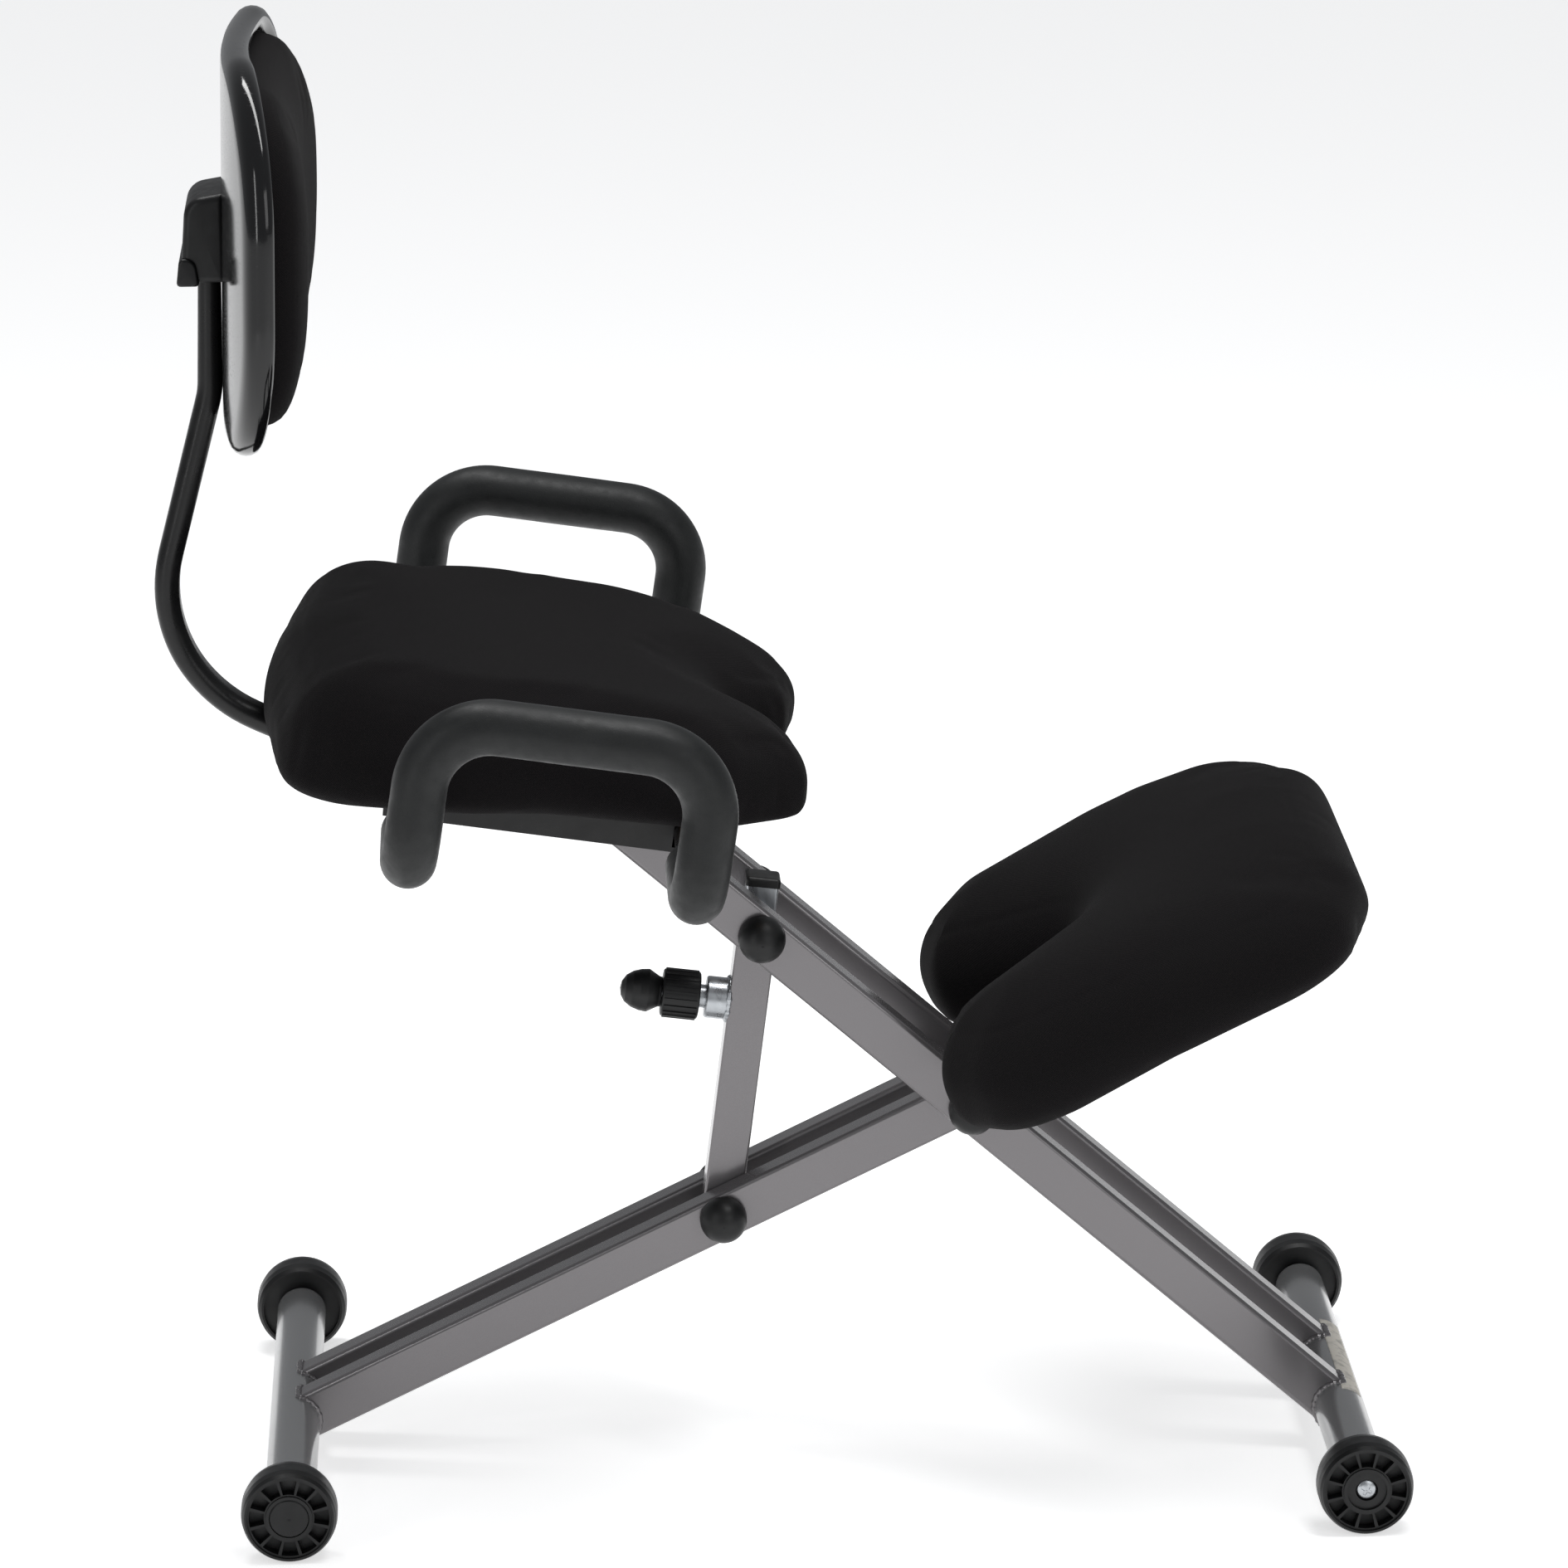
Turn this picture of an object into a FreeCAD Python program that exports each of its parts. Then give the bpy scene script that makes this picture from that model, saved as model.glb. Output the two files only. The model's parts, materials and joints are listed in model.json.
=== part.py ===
import FreeCAD, Part
import math
import os
import re
import Sketcher
from FreeCAD import Placement, Rotation, Vector

# Kneeling chair with a backrest and side handles, in millimetres.
# +X points to the front (the knee pad), +Y to the sitter's left, +Z up.
# The origin lies on the floor, under the middle of the chair's bounding box.

DIMENSIONS = {
    # feet
    "rear_axle_x": -315, "front_axle_x": 356, "axle_height": 30,
    "wheel_radius": 30, "wheel_width": 27, "wheel_outer_y": 205, "hub_radius": 14.5,
    "axle_radius": 5, "run_gap": 0.05, "bar_radius": 16, "bar_wall": 2, "bar_half_length": 176,
    # beams: rectangular tube, one pair running inside the other
    "beam_width": 20, "beam_depth": 30, "beam_wall": 1.5, "beam_corner": 3,
    "knee_beam_y": 12.8, "seat_beam_y": 33.8,
    "knee_angle": 25.6, "seat_angle": 41.5, "knee_beam_length": 706, "seat_beam_length": 700,
    "beam_drop": 2,
    "main_bolt_radius": 5, "strut_bolt_radius": 4, "cap_radius": 15,
    # strut: square tube that slides in a larger one
    "lower_pivot_x": -38, "upper_pivot_x": -12,
    "outer_size": 25, "outer_wall": 2, "outer_bottom": -14, "outer_top": 180,
    "inner_size": 20.4, "inner_wall": 1.5, "inner_bottom": 26, "inner_top": 224,
    "open_pivot_radius": 5.6, "pin_station": 136, "pin_travel": 50, "pin_radius": 4,
    # seat: tray, board and cushion, in a frame that slopes down to the front
    "seat_x": -141, "seat_z": 447.2, "seat_tilt": 8.8,
    "tray_half_length": 107, "tray_half_width": 140, "tray_depth": 22, "tray_wall": 3,
    "seat_board_thickness": 12, "seat_cushion_top": 92,
    # handles
    "handle_rear_u": -92, "handle_front_u": 81, "handle_y": 301.5, "handle_low_w": 12.5,
    "handle_top_w": 108, "handle_tube_radius": 9.4, "foam_radius": 17, "foam_start_y": 205,
    "handle_root_y": 60, "handle_corner": 42, "handle_elbow": 32,
    # back
    "back_bar_x": -346, "back_bar_top": 824, "back_bar_kink": 702,
    "bar_thickness": 13, "bar_breadth": 24,
    "housing_half_width": 32, "housing_bottom": 776, "housing_top": 828,
    "housing_rear": -365, "shell_rear": -337, "shell_curve": 850, "shell_rim": 18,
    "shell_wall": 3, "shell_width": 370, "shell_height": 252, "shell_middle_z": 800,
    "shell_corner": 75, "pad_inset": 14, "pad_depth": 30,
    # knee pad, in a frame that lies on top of the knee beams
    "knee_pad_x": 225, "knee_plate_thickness": 4, "knee_board_thickness": 10,
    "knee_cushion_top": 72,
}

# Half outlines of the two cushions, from the notch round to the far end: each corner is
# (along, across) and the radius that rounds it.
SEAT_OUTLINE = [((97, 0), 24), ((146, 52), 24), ((155, 112), 34), ((96, 171), 60),
                ((-60, 189), 110), ((-172, 167), 46), ((-186, 0), 300)]
KNEE_OUTLINE = [((0, 0), 20), ((-114, 72), 22), ((-123, 120), 30), ((-90, 174), 50),
                ((20, 197), 100), ((138, 195), 60), ((167, 110), 50)]

doc = FreeCAD.newDocument("KneelingChair")
sheet = doc.addObject("Spreadsheet::Sheet", "Dims")
for row, (alias, number) in enumerate(DIMENSIONS.items(), start=1):
    sheet.set("A%d" % row, str(number))
    sheet.setAlias("A%d" % row, alias)
doc.recompute()

parts = []


def with_sheet(text):
    """The expression with every alias written as a cell of the sheet."""
    return re.sub(r"\b([a-z]+(?:_[a-z]+)+)\b", r"Dims.\1", text)


def dim(text):
    """The number that an expression of aliases comes to."""
    return float(sheet.evalExpression(text))


def bind(thing, **expressions):
    for prop, text in expressions.items():
        thing.setExpression(prop, with_sheet(text))


def keep(thing, label, placement=None):
    """Names a finished sub-part and puts it in its place."""
    thing.Label = label
    if placement is not None:
        thing.Placement = placement
    parts.append(thing)
    return thing


# ---------------------------------------------------------------- frames of reference

def tilted(x, z, angle, y=0.0):
    """A frame at (x, y, z) whose X axis slopes down to the front by angle."""
    return Placement(Vector(x, y, z), Rotation(Vector(0, 1, 0), angle))


KNEE_BEAM = tilted(dim("rear_axle_x"), dim("axle_height - beam_drop"), -dim("knee_angle"))
SEAT_BEAM = Placement(Vector(dim("front_axle_x"), 0, dim("axle_height - beam_drop")),
                      Rotation(Vector(0, 1, 0), dim("seat_angle") + 180))
SEAT = tilted(dim("seat_x"), dim("seat_z"), dim("seat_tilt"))


def on_beam(frame, x):
    """The point of a beam's centre line at the given x, as (distance along, point)."""
    direction = frame.Rotation.multVec(Vector(1, 0, 0))
    distance = (x - frame.Base.x) / direction.x
    return distance, frame.Base + direction * distance


lower_along, LOWER = on_beam(KNEE_BEAM, dim("lower_pivot_x"))
upper_along, UPPER = on_beam(SEAT_BEAM, dim("upper_pivot_x"))
knee_slope = math.tan(math.radians(dim("knee_angle")))
seat_slope = math.tan(math.radians(dim("seat_angle")))
cross_x = (seat_slope * dim("front_axle_x") + knee_slope * dim("rear_axle_x")) / (knee_slope + seat_slope)
knee_cross_along, CROSS = on_beam(KNEE_BEAM, cross_x)
seat_cross_along, _ = on_beam(SEAT_BEAM, cross_x)
strut_angle = math.degrees(math.atan2(UPPER.x - LOWER.x, UPPER.z - LOWER.z))
strut_length = LOWER.distanceToPoint(UPPER)
STRUT = tilted(LOWER.x, LOWER.z, strut_angle)
_, knee_top_point = on_beam(KNEE_BEAM, dim("knee_pad_x"))
KNEE = tilted(knee_top_point.x, knee_top_point.z, -dim("knee_angle")).multiply(
    Placement(Vector(0, 0, dim("beam_depth / 2")), Rotation()))
PIN = STRUT.multiply(Placement(Vector(0, 0, dim("pin_station")), Rotation(Vector(0, 1, 0), -90)))
print("cross", CROSS, "lower", LOWER, "upper", UPPER)
print("strut angle", strut_angle, "length", strut_length)


# ---------------------------------------------------------------- ways of making a piece

def origin_plane(body, role):
    return [f for f in body.Origin.OriginFeatures if f.Role == role][0]


def polygon(sketch, points):
    """Adds a closed outline whose corners are bound to the sheet."""
    first = sketch.GeometryCount
    corners = [Vector(dim(h), dim(v), 0) for h, v in points]
    count = len(corners)
    for i in range(count):
        sketch.addGeometry(Part.LineSegment(corners[i], corners[(i + 1) % count]))
    for i, (h, v) in enumerate(points):
        line = first + i
        sketch.addConstraint(Sketcher.Constraint("Coincident", line, 2, first + (i + 1) % count, 1))
        for kind, text, value in (("DistanceX", h, corners[i].x), ("DistanceY", v, corners[i].y)):
            index = sketch.addConstraint(Sketcher.Constraint(kind, -1, 1, line, 1, value))
            sketch.setExpression("Constraints[%d]" % index, with_sheet(text))


def circle(sketch, radius, h="0", v="0"):
    """Adds a circle whose size and centre are bound to the sheet."""
    centre = Vector(dim(h), dim(v), 0)
    round_line = sketch.addGeometry(Part.Circle(centre, Vector(0, 0, 1), dim(radius)))
    for kind, text, value in (("DistanceX", h, centre.x), ("DistanceY", v, centre.y)):
        index = sketch.addConstraint(Sketcher.Constraint(kind, -1, 1, round_line, 3, value))
        sketch.setExpression("Constraints[%d]" % index, with_sheet(text))
    index = sketch.addConstraint(Sketcher.Constraint("Radius", round_line, dim(radius)))
    sketch.setExpression("Constraints[%d]" % index, with_sheet(radius))


def new_body(name):
    return doc.addObject("PartDesign::Body", name)


def new_sketch(body, role, name="Outline"):
    sketch = body.newObject("Sketcher::SketchObject", name)
    sketch.AttachmentSupport = (origin_plane(body, role), [""])
    sketch.MapMode = "FlatFace"
    return sketch


def pad(body, sketch, length, midplane=False):
    feature = body.newObject("PartDesign::Pad", "Pad")
    feature.Profile = sketch
    feature.Midplane = midplane
    bind(feature, Length=length)
    doc.recompute()
    return feature


def pocket_through(body, sketch):
    """Cuts a sketch through the whole body, both ways, and tests that it cut."""
    before = body.Shape.Volume
    feature = body.newObject("PartDesign::Pocket", "Pocket")
    feature.Profile = sketch
    feature.Type = "ThroughAll"
    feature.Midplane = True
    doc.recompute()
    if body.Shape.Volume > before - 1e-3:
        raise RuntimeError(body.Name + ": the pocket cut nothing")
    return feature


def revolve(body, sketch, axis_role):
    feature = body.newObject("PartDesign::Revolution", "Revolution")
    feature.Profile = sketch
    feature.ReferenceAxis = (origin_plane(body, axis_role), [""])
    feature.Angle = 360
    doc.recompute()
    return feature


def round_edges(body, feature, radius, wanted):
    """Rounds the edges of a body's last feature that the test picks."""
    names = ["Edge%d" % (i + 1) for i, edge in enumerate(feature.Shape.Edges) if wanted(edge)]
    fillet = body.newObject("PartDesign::Fillet", "Fillet")
    fillet.Base = (feature, names)
    bind(fillet, Radius=radius)
    doc.recompute()
    return fillet


def turned(name, outline):
    """A body turned about its own Z axis from half a section: (radius, height) expressions."""
    body = new_body(name)
    sketch = new_sketch(body, "XZ_Plane")
    polygon(sketch, outline)
    revolve(body, sketch, "Z_Axis")
    return body


def ring(name, outer, inner, low, high):
    return turned(name, [(inner, low), (outer, low), (outer, high), (inner, high)])


def group(name, members, label, placement=None):
    """Several solids of one kind in one node."""
    compound = doc.addObject("Part::Compound", name)
    compound.Links = members
    return keep(compound, label, placement)


def plain(name, shape, label, placement=None):
    """A piece whose shape is worked out in code from the sheet's numbers."""
    feature = doc.addObject("Part::Feature", name)
    feature.Shape = shape
    return keep(feature, label, placement)


def bolt(name, radius, low, high, head_radius, head_height):
    """A bolt along its own Z axis: shank from low to high, head below low."""
    return turned(name, [("0", low + " - " + head_height), (head_radius, low + " - " + head_height),
                         (head_radius, low), (radius, low), (radius, high), ("0", high)])


ACROSS = Rotation(Vector(1, 0, 0), -90)      # turns a piece's Z axis to +Y
ACROSS_BACK = Rotation(Vector(1, 0, 0), 90)  # turns a piece's Z axis to -Y
SIDES = {"left": 1, "right": -1}


# ---------------------------------------------------------------- feet

def foot(name, x_alias):
    """A cross bar with end plugs, axle bolts and two wheels."""
    place = Placement(Vector(dim(x_alias), 0, dim("axle_height")), Rotation())
    body = new_body(name + "Bar")
    sketch = new_sketch(body, "XZ_Plane")
    circle(sketch, "bar_radius")
    circle(sketch, "bar_radius - bar_wall")
    pad(body, sketch, "2 * bar_half_length", midplane=True)
    keep(body, name + "_foot_bar", place)

    plugs = []
    bolts = []
    for side, sign in SIDES.items():
        turn = ACROSS if sign > 0 else ACROSS_BACK
        plug = turned(name + "Plug" + side, [
            ("axle_radius + run_gap", "bar_half_length - 14"),
            ("bar_radius - bar_wall", "bar_half_length - 14"),
            ("bar_radius - bar_wall", "bar_half_length"), ("bar_radius - 1", "bar_half_length"),
            ("bar_radius - 1", "bar_half_length + 1.5"),
            ("axle_radius + run_gap", "bar_half_length + 1.5")])
        plug.Placement = Placement(Vector(), turn)
        plugs.append(plug)
        axle = turned(name + "Axle" + side, [
            ("0", "bar_half_length - 26"), ("axle_radius", "bar_half_length - 26"),
            ("axle_radius", "wheel_outer_y - 6.5"), ("6.5", "wheel_outer_y - 6.5"),
            ("6.5", "wheel_outer_y - 4.6"), ("4.2", "wheel_outer_y - 3.2"),
            ("0", "wheel_outer_y - 2.7")])
        axle.Placement = Placement(Vector(), turn)
        bolts.append(axle)
    group(name + "Plugs", plugs, name + "_end_plugs", place)
    group(name + "Axles", bolts, name + "_axle_screws", place)

    for side, sign in SIDES.items():
        turn = ACROSS if sign > 0 else ACROSS_BACK
        wheel(name + "_wheel_" + side, Placement(place.Base, turn))
        if (name, side) != ("front", "right"):      # this wheel has lost its cap
            cap = turned(name + "HubCap" + side, [
                ("0", "wheel_outer_y - 2.2"), ("hub_radius - 2.2", "wheel_outer_y - 2.2"),
                ("hub_radius - 2.2", "wheel_outer_y - 0.9"), ("hub_radius - 3", "wheel_outer_y - 0.3"),
                ("0", "wheel_outer_y - 0.1")])
            keep(cap, name + "_hub_cap_" + side, Placement(place.Base, turn))


def wheel(label, placement):
    """A moulded wheel: crowned tread, and an outer face hollowed between twelve ribs."""
    inner_y = "wheel_outer_y - wheel_width"
    body = turned("Wheel_" + label, [
        ("axle_radius + run_gap", inner_y + " + 0.5"), ("hub_radius", inner_y + " + 0.5"),
        ("hub_radius", inner_y + " + 4"), ("wheel_radius - 4.5", inner_y + " + 4"),
        ("wheel_radius - 4.5", inner_y), ("wheel_radius - 3", inner_y),
        ("wheel_radius - 1", inner_y + " + 2.5"), ("wheel_radius", inner_y + " + 8"),
        ("wheel_radius", "wheel_outer_y - 8"), ("wheel_radius - 0.8", "wheel_outer_y - 3"),
        ("wheel_radius - 2.2", "wheel_outer_y"), ("wheel_radius - 3.6", "wheel_outer_y"),
        ("wheel_radius - 3.6", "wheel_outer_y - 1.6"), ("hub_radius", "wheel_outer_y - 1.6"),
        ("hub_radius", "wheel_outer_y - 0.4"), ("hub_radius - 2", "wheel_outer_y - 0.4"),
        ("hub_radius - 2", "wheel_outer_y - 2.4"), ("7", "wheel_outer_y - 2.4"),
        ("7", "wheel_outer_y - 6.6"), ("axle_radius + run_gap", "wheel_outer_y - 6.6")])
    sketch = new_sketch(body, "XZ_Plane", "Recess")
    polygon(sketch, [("hub_radius + 1.2", "wheel_outer_y - 9"), ("wheel_radius - 5", "wheel_outer_y - 9"),
                     ("wheel_radius - 5", "wheel_outer_y"), ("hub_radius + 1.2", "wheel_outer_y")])
    before = body.Shape.Volume
    groove = body.newObject("PartDesign::Groove", "Recess")
    groove.Profile = sketch
    groove.ReferenceAxis = (origin_plane(body, "Z_Axis"), [""])
    groove.Angle = 25
    groove.Midplane = True
    doc.recompute()
    pattern = body.newObject("PartDesign::PolarPattern", "Ribs")
    pattern.Originals = [groove]
    pattern.Axis = (origin_plane(body, "Z_Axis"), [""])
    pattern.Angle = 360
    pattern.Occurrences = 12
    body.Tip = pattern
    doc.recompute()
    if body.Shape.Volume > before - 1000:
        raise RuntimeError(label + ": the recesses cut too little")
    keep(body, label, placement)


foot("rear", "rear_axle_x")
foot("front", "front_axle_x")


# ---------------------------------------------------------------- beams

def beam(name, inner_y, sign, length, holes, frame):
    """Half of a twin beam: rectangular tube, coped to its foot bar and drilled for bolts."""
    body = new_body(name)
    near = inner_y if sign > 0 else "-(" + inner_y + " + beam_width)"
    sketch = new_sketch(body, "YZ_Plane")
    for inset in ("0", "beam_wall"):
        low, high = near + " + " + inset, near + " + beam_width - " + inset
        bottom, top = "-beam_depth / 2 + " + inset, "beam_depth / 2 - " + inset
        polygon(sketch, [(low, bottom), (high, bottom), (high, top), (low, top)])
    tube = pad(body, sketch, length)
    half = dim("beam_depth / 2")

    def is_outer_corner(edge):
        ends = [v.Point for v in edge.Vertexes]
        return len(ends) == 2 and abs(ends[0].x - ends[1].x) > 10 and abs(abs(ends[0].z) - half) < 0.01

    round_edges(body, tube, "beam_corner", is_outer_corner)
    cuts = new_sketch(body, "XZ_Plane", "Holes")
    bar_at = frame.inverse().multVec(frame.Base + Vector(0, 0, dim("beam_drop")))
    circle(cuts, "bar_radius", str(round(bar_at.x, 4)), str(round(bar_at.z, 4)))
    for radius, distance in holes:
        circle(cuts, radius, str(distance))
    pocket_through(body, cuts)
    body.Placement = frame
    return body


for side, sign in SIDES.items():
    knee_beam = beam("KneeBeam" + side, "knee_beam_y", sign, "knee_beam_length",
                     [("main_bolt_radius + run_gap", knee_cross_along),
                      ("strut_bolt_radius + run_gap", lower_along)], KNEE_BEAM)
    keep(knee_beam, "knee_beam_" + side, KNEE_BEAM)
    seat_tube = beam("SeatTube" + side, "seat_beam_y", sign, "seat_beam_length",
                     [("main_bolt_radius + run_gap", seat_cross_along),
                      ("strut_bolt_radius + run_gap", upper_along)], SEAT_BEAM)
    above_tray = doc.addObject("Part::Box", "AboveTray" + side)
    bind(above_tray, Length="6 * tray_half_length", Width="4 * tray_half_width", Height="400")
    above_tray.Placement = SEAT.multiply(Placement(
        Vector(dim("-3 * tray_half_length"), dim("-2 * tray_half_width"), 0), Rotation()))
    seat_beam = doc.addObject("Part::Cut", "SeatBeam" + side)
    seat_beam.Base = seat_tube
    seat_beam.Tool = above_tray
    keep(seat_beam, "seat_beam_" + side)

plugs = []
for side, sign in SIDES.items():
    body = new_body("BeamPlug" + side)
    sketch = new_sketch(body, "YZ_Plane")
    near = "knee_beam_y" if sign > 0 else "-(knee_beam_y + beam_width)"
    polygon(sketch, [(near + " + 0.4", "-beam_depth / 2 + 0.4"),
                     (near + " + beam_width - 0.4", "-beam_depth / 2 + 0.4"),
                     (near + " + beam_width - 0.4", "beam_depth / 2 - 0.4"),
                     (near + " + 0.4", "beam_depth / 2 - 0.4")])
    pad(body, sketch, "3")
    plugs.append(body)
group("BeamPlugs", plugs, "knee_beam_plugs", KNEE_BEAM.multiply(
    Placement(Vector(dim("knee_beam_length"), 0, 0), Rotation())))


# ---------------------------------------------------------------- pivots

def dome_section(sketch, bore, low):
    """Half the section of a domed cap that stands on low and is bored for the bolt's end."""
    shoulder, depth = low + " + 3.5", low + " + 9.2"
    outline = [("0", depth), (bore, depth), (bore, low), ("cap_radius - 1.5", low),
               ("cap_radius", low + " + 1.5"), ("cap_radius", shoulder)]
    corners = [Vector(dim(h), dim(v), 0) for h, v in outline]
    centre = Vector(0, dim(shoulder), 0)
    for start, end in zip(corners, corners[1:]):
        sketch.addGeometry(Part.LineSegment(start, end))
    last = len(outline) - 2
    closing = sketch.addGeometry(Part.LineSegment(centre + Vector(0, dim("cap_radius"), 0), corners[0]))
    dome = sketch.addGeometry(Part.ArcOfCircle(
        Part.Circle(centre, Vector(0, 0, 1), dim("cap_radius")), 0, math.pi / 2))
    for i in range(last):
        sketch.addConstraint(Sketcher.Constraint("Coincident", i, 2, i + 1, 1))
    sketch.addConstraint(Sketcher.Constraint("Coincident", last, 2, dome, 1))
    sketch.addConstraint(Sketcher.Constraint("Coincident", dome, 2, closing, 1))
    sketch.addConstraint(Sketcher.Constraint("Coincident", closing, 2, 0, 1))
    places = [(i, 1, h, v) for i, (h, v) in enumerate(outline[:-1])]
    places += [(last, 2, *outline[-1]), (dome, 3, "0", shoulder), (closing, 1, "0", None)]
    for line, end, h, v in places:
        for kind, text in (("DistanceX", h), ("DistanceY", v)):
            if text is not None:
                index = sketch.addConstraint(Sketcher.Constraint(kind, -1, 1, line, end, dim(text)))
                sketch.setExpression("Constraints[%d]" % index, with_sheet(text))


def pivot(name, point, radius, half_span, label):
    """A through bolt with a domed cap over each end."""
    place = Placement(point, ACROSS)
    rod = doc.addObject("Part::Cylinder", name + "Bolt")
    bind(rod, Radius=radius, Height="2 * (" + half_span + " + 9)")
    keep(rod, label + "_bolt", place.multiply(Placement(Vector(0, 0, -dim(half_span + " + 9")), Rotation())))
    caps = []
    for side, sign in SIDES.items():
        body = new_body(name + "Cap" + side)
        sketch = new_sketch(body, "XZ_Plane")
        dome_section(sketch, radius + " + run_gap", half_span)
        revolve(body, sketch, "Z_Axis")
        body.Placement = Placement(Vector(), Rotation() if sign > 0 else Rotation(Vector(1, 0, 0), 180))
        caps.append(body)
    group(name + "Caps", caps, label + "_caps", place)


pivot("Main", CROSS, "main_bolt_radius", "seat_beam_y + beam_width + 0.3", "main_pivot")
pivot("Lower", LOWER, "strut_bolt_radius", "knee_beam_y + beam_width", "lower_pivot")
pivot("Upper", UPPER, "strut_bolt_radius", "seat_beam_y + beam_width", "upper_pivot")

spacer = ring("MainSpacer", "main_bolt_radius + 4", "main_bolt_radius + run_gap",
              "-knee_beam_y + 0.05", "knee_beam_y - 0.05")
keep(spacer, "main_pivot_spacer", Placement(CROSS, ACROSS))
washers = []
spacers = []
for side, sign in SIDES.items():
    turn = Rotation() if sign > 0 else Rotation(Vector(1, 0, 0), 180)
    washer = ring("Washer" + side, "main_bolt_radius + 6", "main_bolt_radius + run_gap",
                  "knee_beam_y + beam_width", "knee_beam_y + beam_width + 0.7")
    washer.Placement = Placement(Vector(), turn)
    washers.append(washer)
    tube = ring("UpperSpacer" + side, "strut_bolt_radius + 3.5", "strut_bolt_radius + run_gap",
                "inner_size / 2 + 0.8", "seat_beam_y - 0.05")
    tube.Placement = Placement(Vector(), turn)
    spacers.append(tube)
group("Washers", washers, "main_pivot_washers", Placement(CROSS, ACROSS))
group("UpperSpacers", spacers, "upper_pivot_spacers", Placement(UPPER, ACROSS))


# ---------------------------------------------------------------- strut and its pull pin

def square_tube(name, size, wall, low, high):
    """A square tube along its own Z axis."""
    body = new_body(name)
    sketch = new_sketch(body, "XY_Plane")
    for inset in ("0", wall):
        edge = size + " / 2 - " + inset
        polygon(sketch, [("-(" + edge + ")", "-(" + edge + ")"), (edge, "-(" + edge + ")"),
                         (edge, edge), ("-(" + edge + ")", edge)])
    sketch.AttachmentOffset = Placement(Vector(0, 0, dim(low)), Rotation())
    sketch.setExpression("AttachmentOffset.Base.z", with_sheet(low))
    tube = pad(body, sketch, high + " - (" + low + ")")
    half = dim(size + " / 2")

    def is_outer_corner(edge):
        ends = [v.Point for v in edge.Vertexes]
        return (len(ends) == 2 and abs(ends[0].z - ends[1].z) > 10
                and abs(abs(ends[0].x) - half) < 0.01)

    round_edges(body, tube, "1.6", is_outer_corner)
    return body


def cut_rear_wall(body, outline, depth_to):
    """Cuts a sketch from the rear face (-X) inwards as far as depth_to."""
    sketch = new_sketch(body, "YZ_Plane", "RearCut")
    outline(sketch)
    before = body.Shape.Volume
    feature = body.newObject("PartDesign::Pocket", "RearCut")
    feature.Profile = sketch
    bind(feature, Length=depth_to)
    feature.Reversed = False
    doc.recompute()
    if body.Shape.Volume > before - 1e-3:
        feature.Reversed = True
        doc.recompute()
    if body.Shape.BoundBox.XMin > -dim("1") or body.Shape.Volume > before - 1e-3:
        raise RuntimeError(body.Name + ": the rear cut is wrong")
    return feature


outer_tube = square_tube("StrutOuter", "outer_size", "outer_wall", "outer_bottom", "outer_top")
holes = new_sketch(outer_tube, "XZ_Plane", "PivotHole")
circle(holes, "strut_bolt_radius + run_gap")
pocket_through(outer_tube, holes)
cut_rear_wall(outer_tube, lambda s: circle(s, "pin_radius + run_gap", "0", "pin_station"), "outer_size")
keep(outer_tube, "strut_outer_tube", STRUT)

inner_tube = square_tube("StrutInner", "inner_size", "inner_wall", "inner_bottom", "inner_top")
holes = new_sketch(inner_tube, "XZ_Plane", "PivotHole")
circle(holes, "open_pivot_radius", "0", str(strut_length))
pocket_through(inner_tube, holes)
cut_rear_wall(inner_tube, lambda s: polygon(s, [
    ("-pin_radius - 0.6", "pin_station + pin_radius + 1.5"),
    ("pin_radius + 0.6", "pin_station + pin_radius + 1.5"),
    ("pin_radius + 0.6", "pin_station - pin_travel - pin_radius - 1.5"),
    ("-pin_radius - 0.6", "pin_station - pin_travel - pin_radius - 1.5")]), "outer_size")
keep(inner_tube, "strut_inner_tube", STRUT)

plug = new_body("InnerPlug")
sketch = new_sketch(plug, "XY_Plane")
edge = "(inner_size / 2 + 0.9)"
polygon(sketch, [("-" + edge, "-" + edge), (edge, "-" + edge), (edge, edge), ("-" + edge, edge)])
block = pad(plug, sketch, "6")
round_edges(plug, block, "2.4", lambda e: min(v.Point.z for v in e.Vertexes) > 5.9 or
            abs(e.Vertexes[0].Point.z - e.Vertexes[-1].Point.z) > 5)
keep(plug, "strut_end_plug", STRUT.multiply(Placement(Vector(0, 0, dim("inner_top")), Rotation())))

# The pin's own frame: Z runs backwards out of the strut, from the strut's axis.
boss = turned("Boss", [("7.56", "outer_size / 2"), ("13.5", "outer_size / 2"), ("13.5", "26"),
                       ("12.7", "27"), ("7.56", "27")])
keep(boss, "pin_boss", PIN)

barrel = turned("Barrel", [
    ("4.05", "outer_size / 2 + 0.3"), ("7.5", "outer_size / 2 + 0.3"), ("7.5", "31"), ("9", "31"),
    ("9", "52"), ("4.05", "52"), ("4.05", "50"), ("6.4", "50"), ("6.4", "31"), ("4.05", "31")])
keep(barrel, "pin_barrel", PIN)

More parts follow.
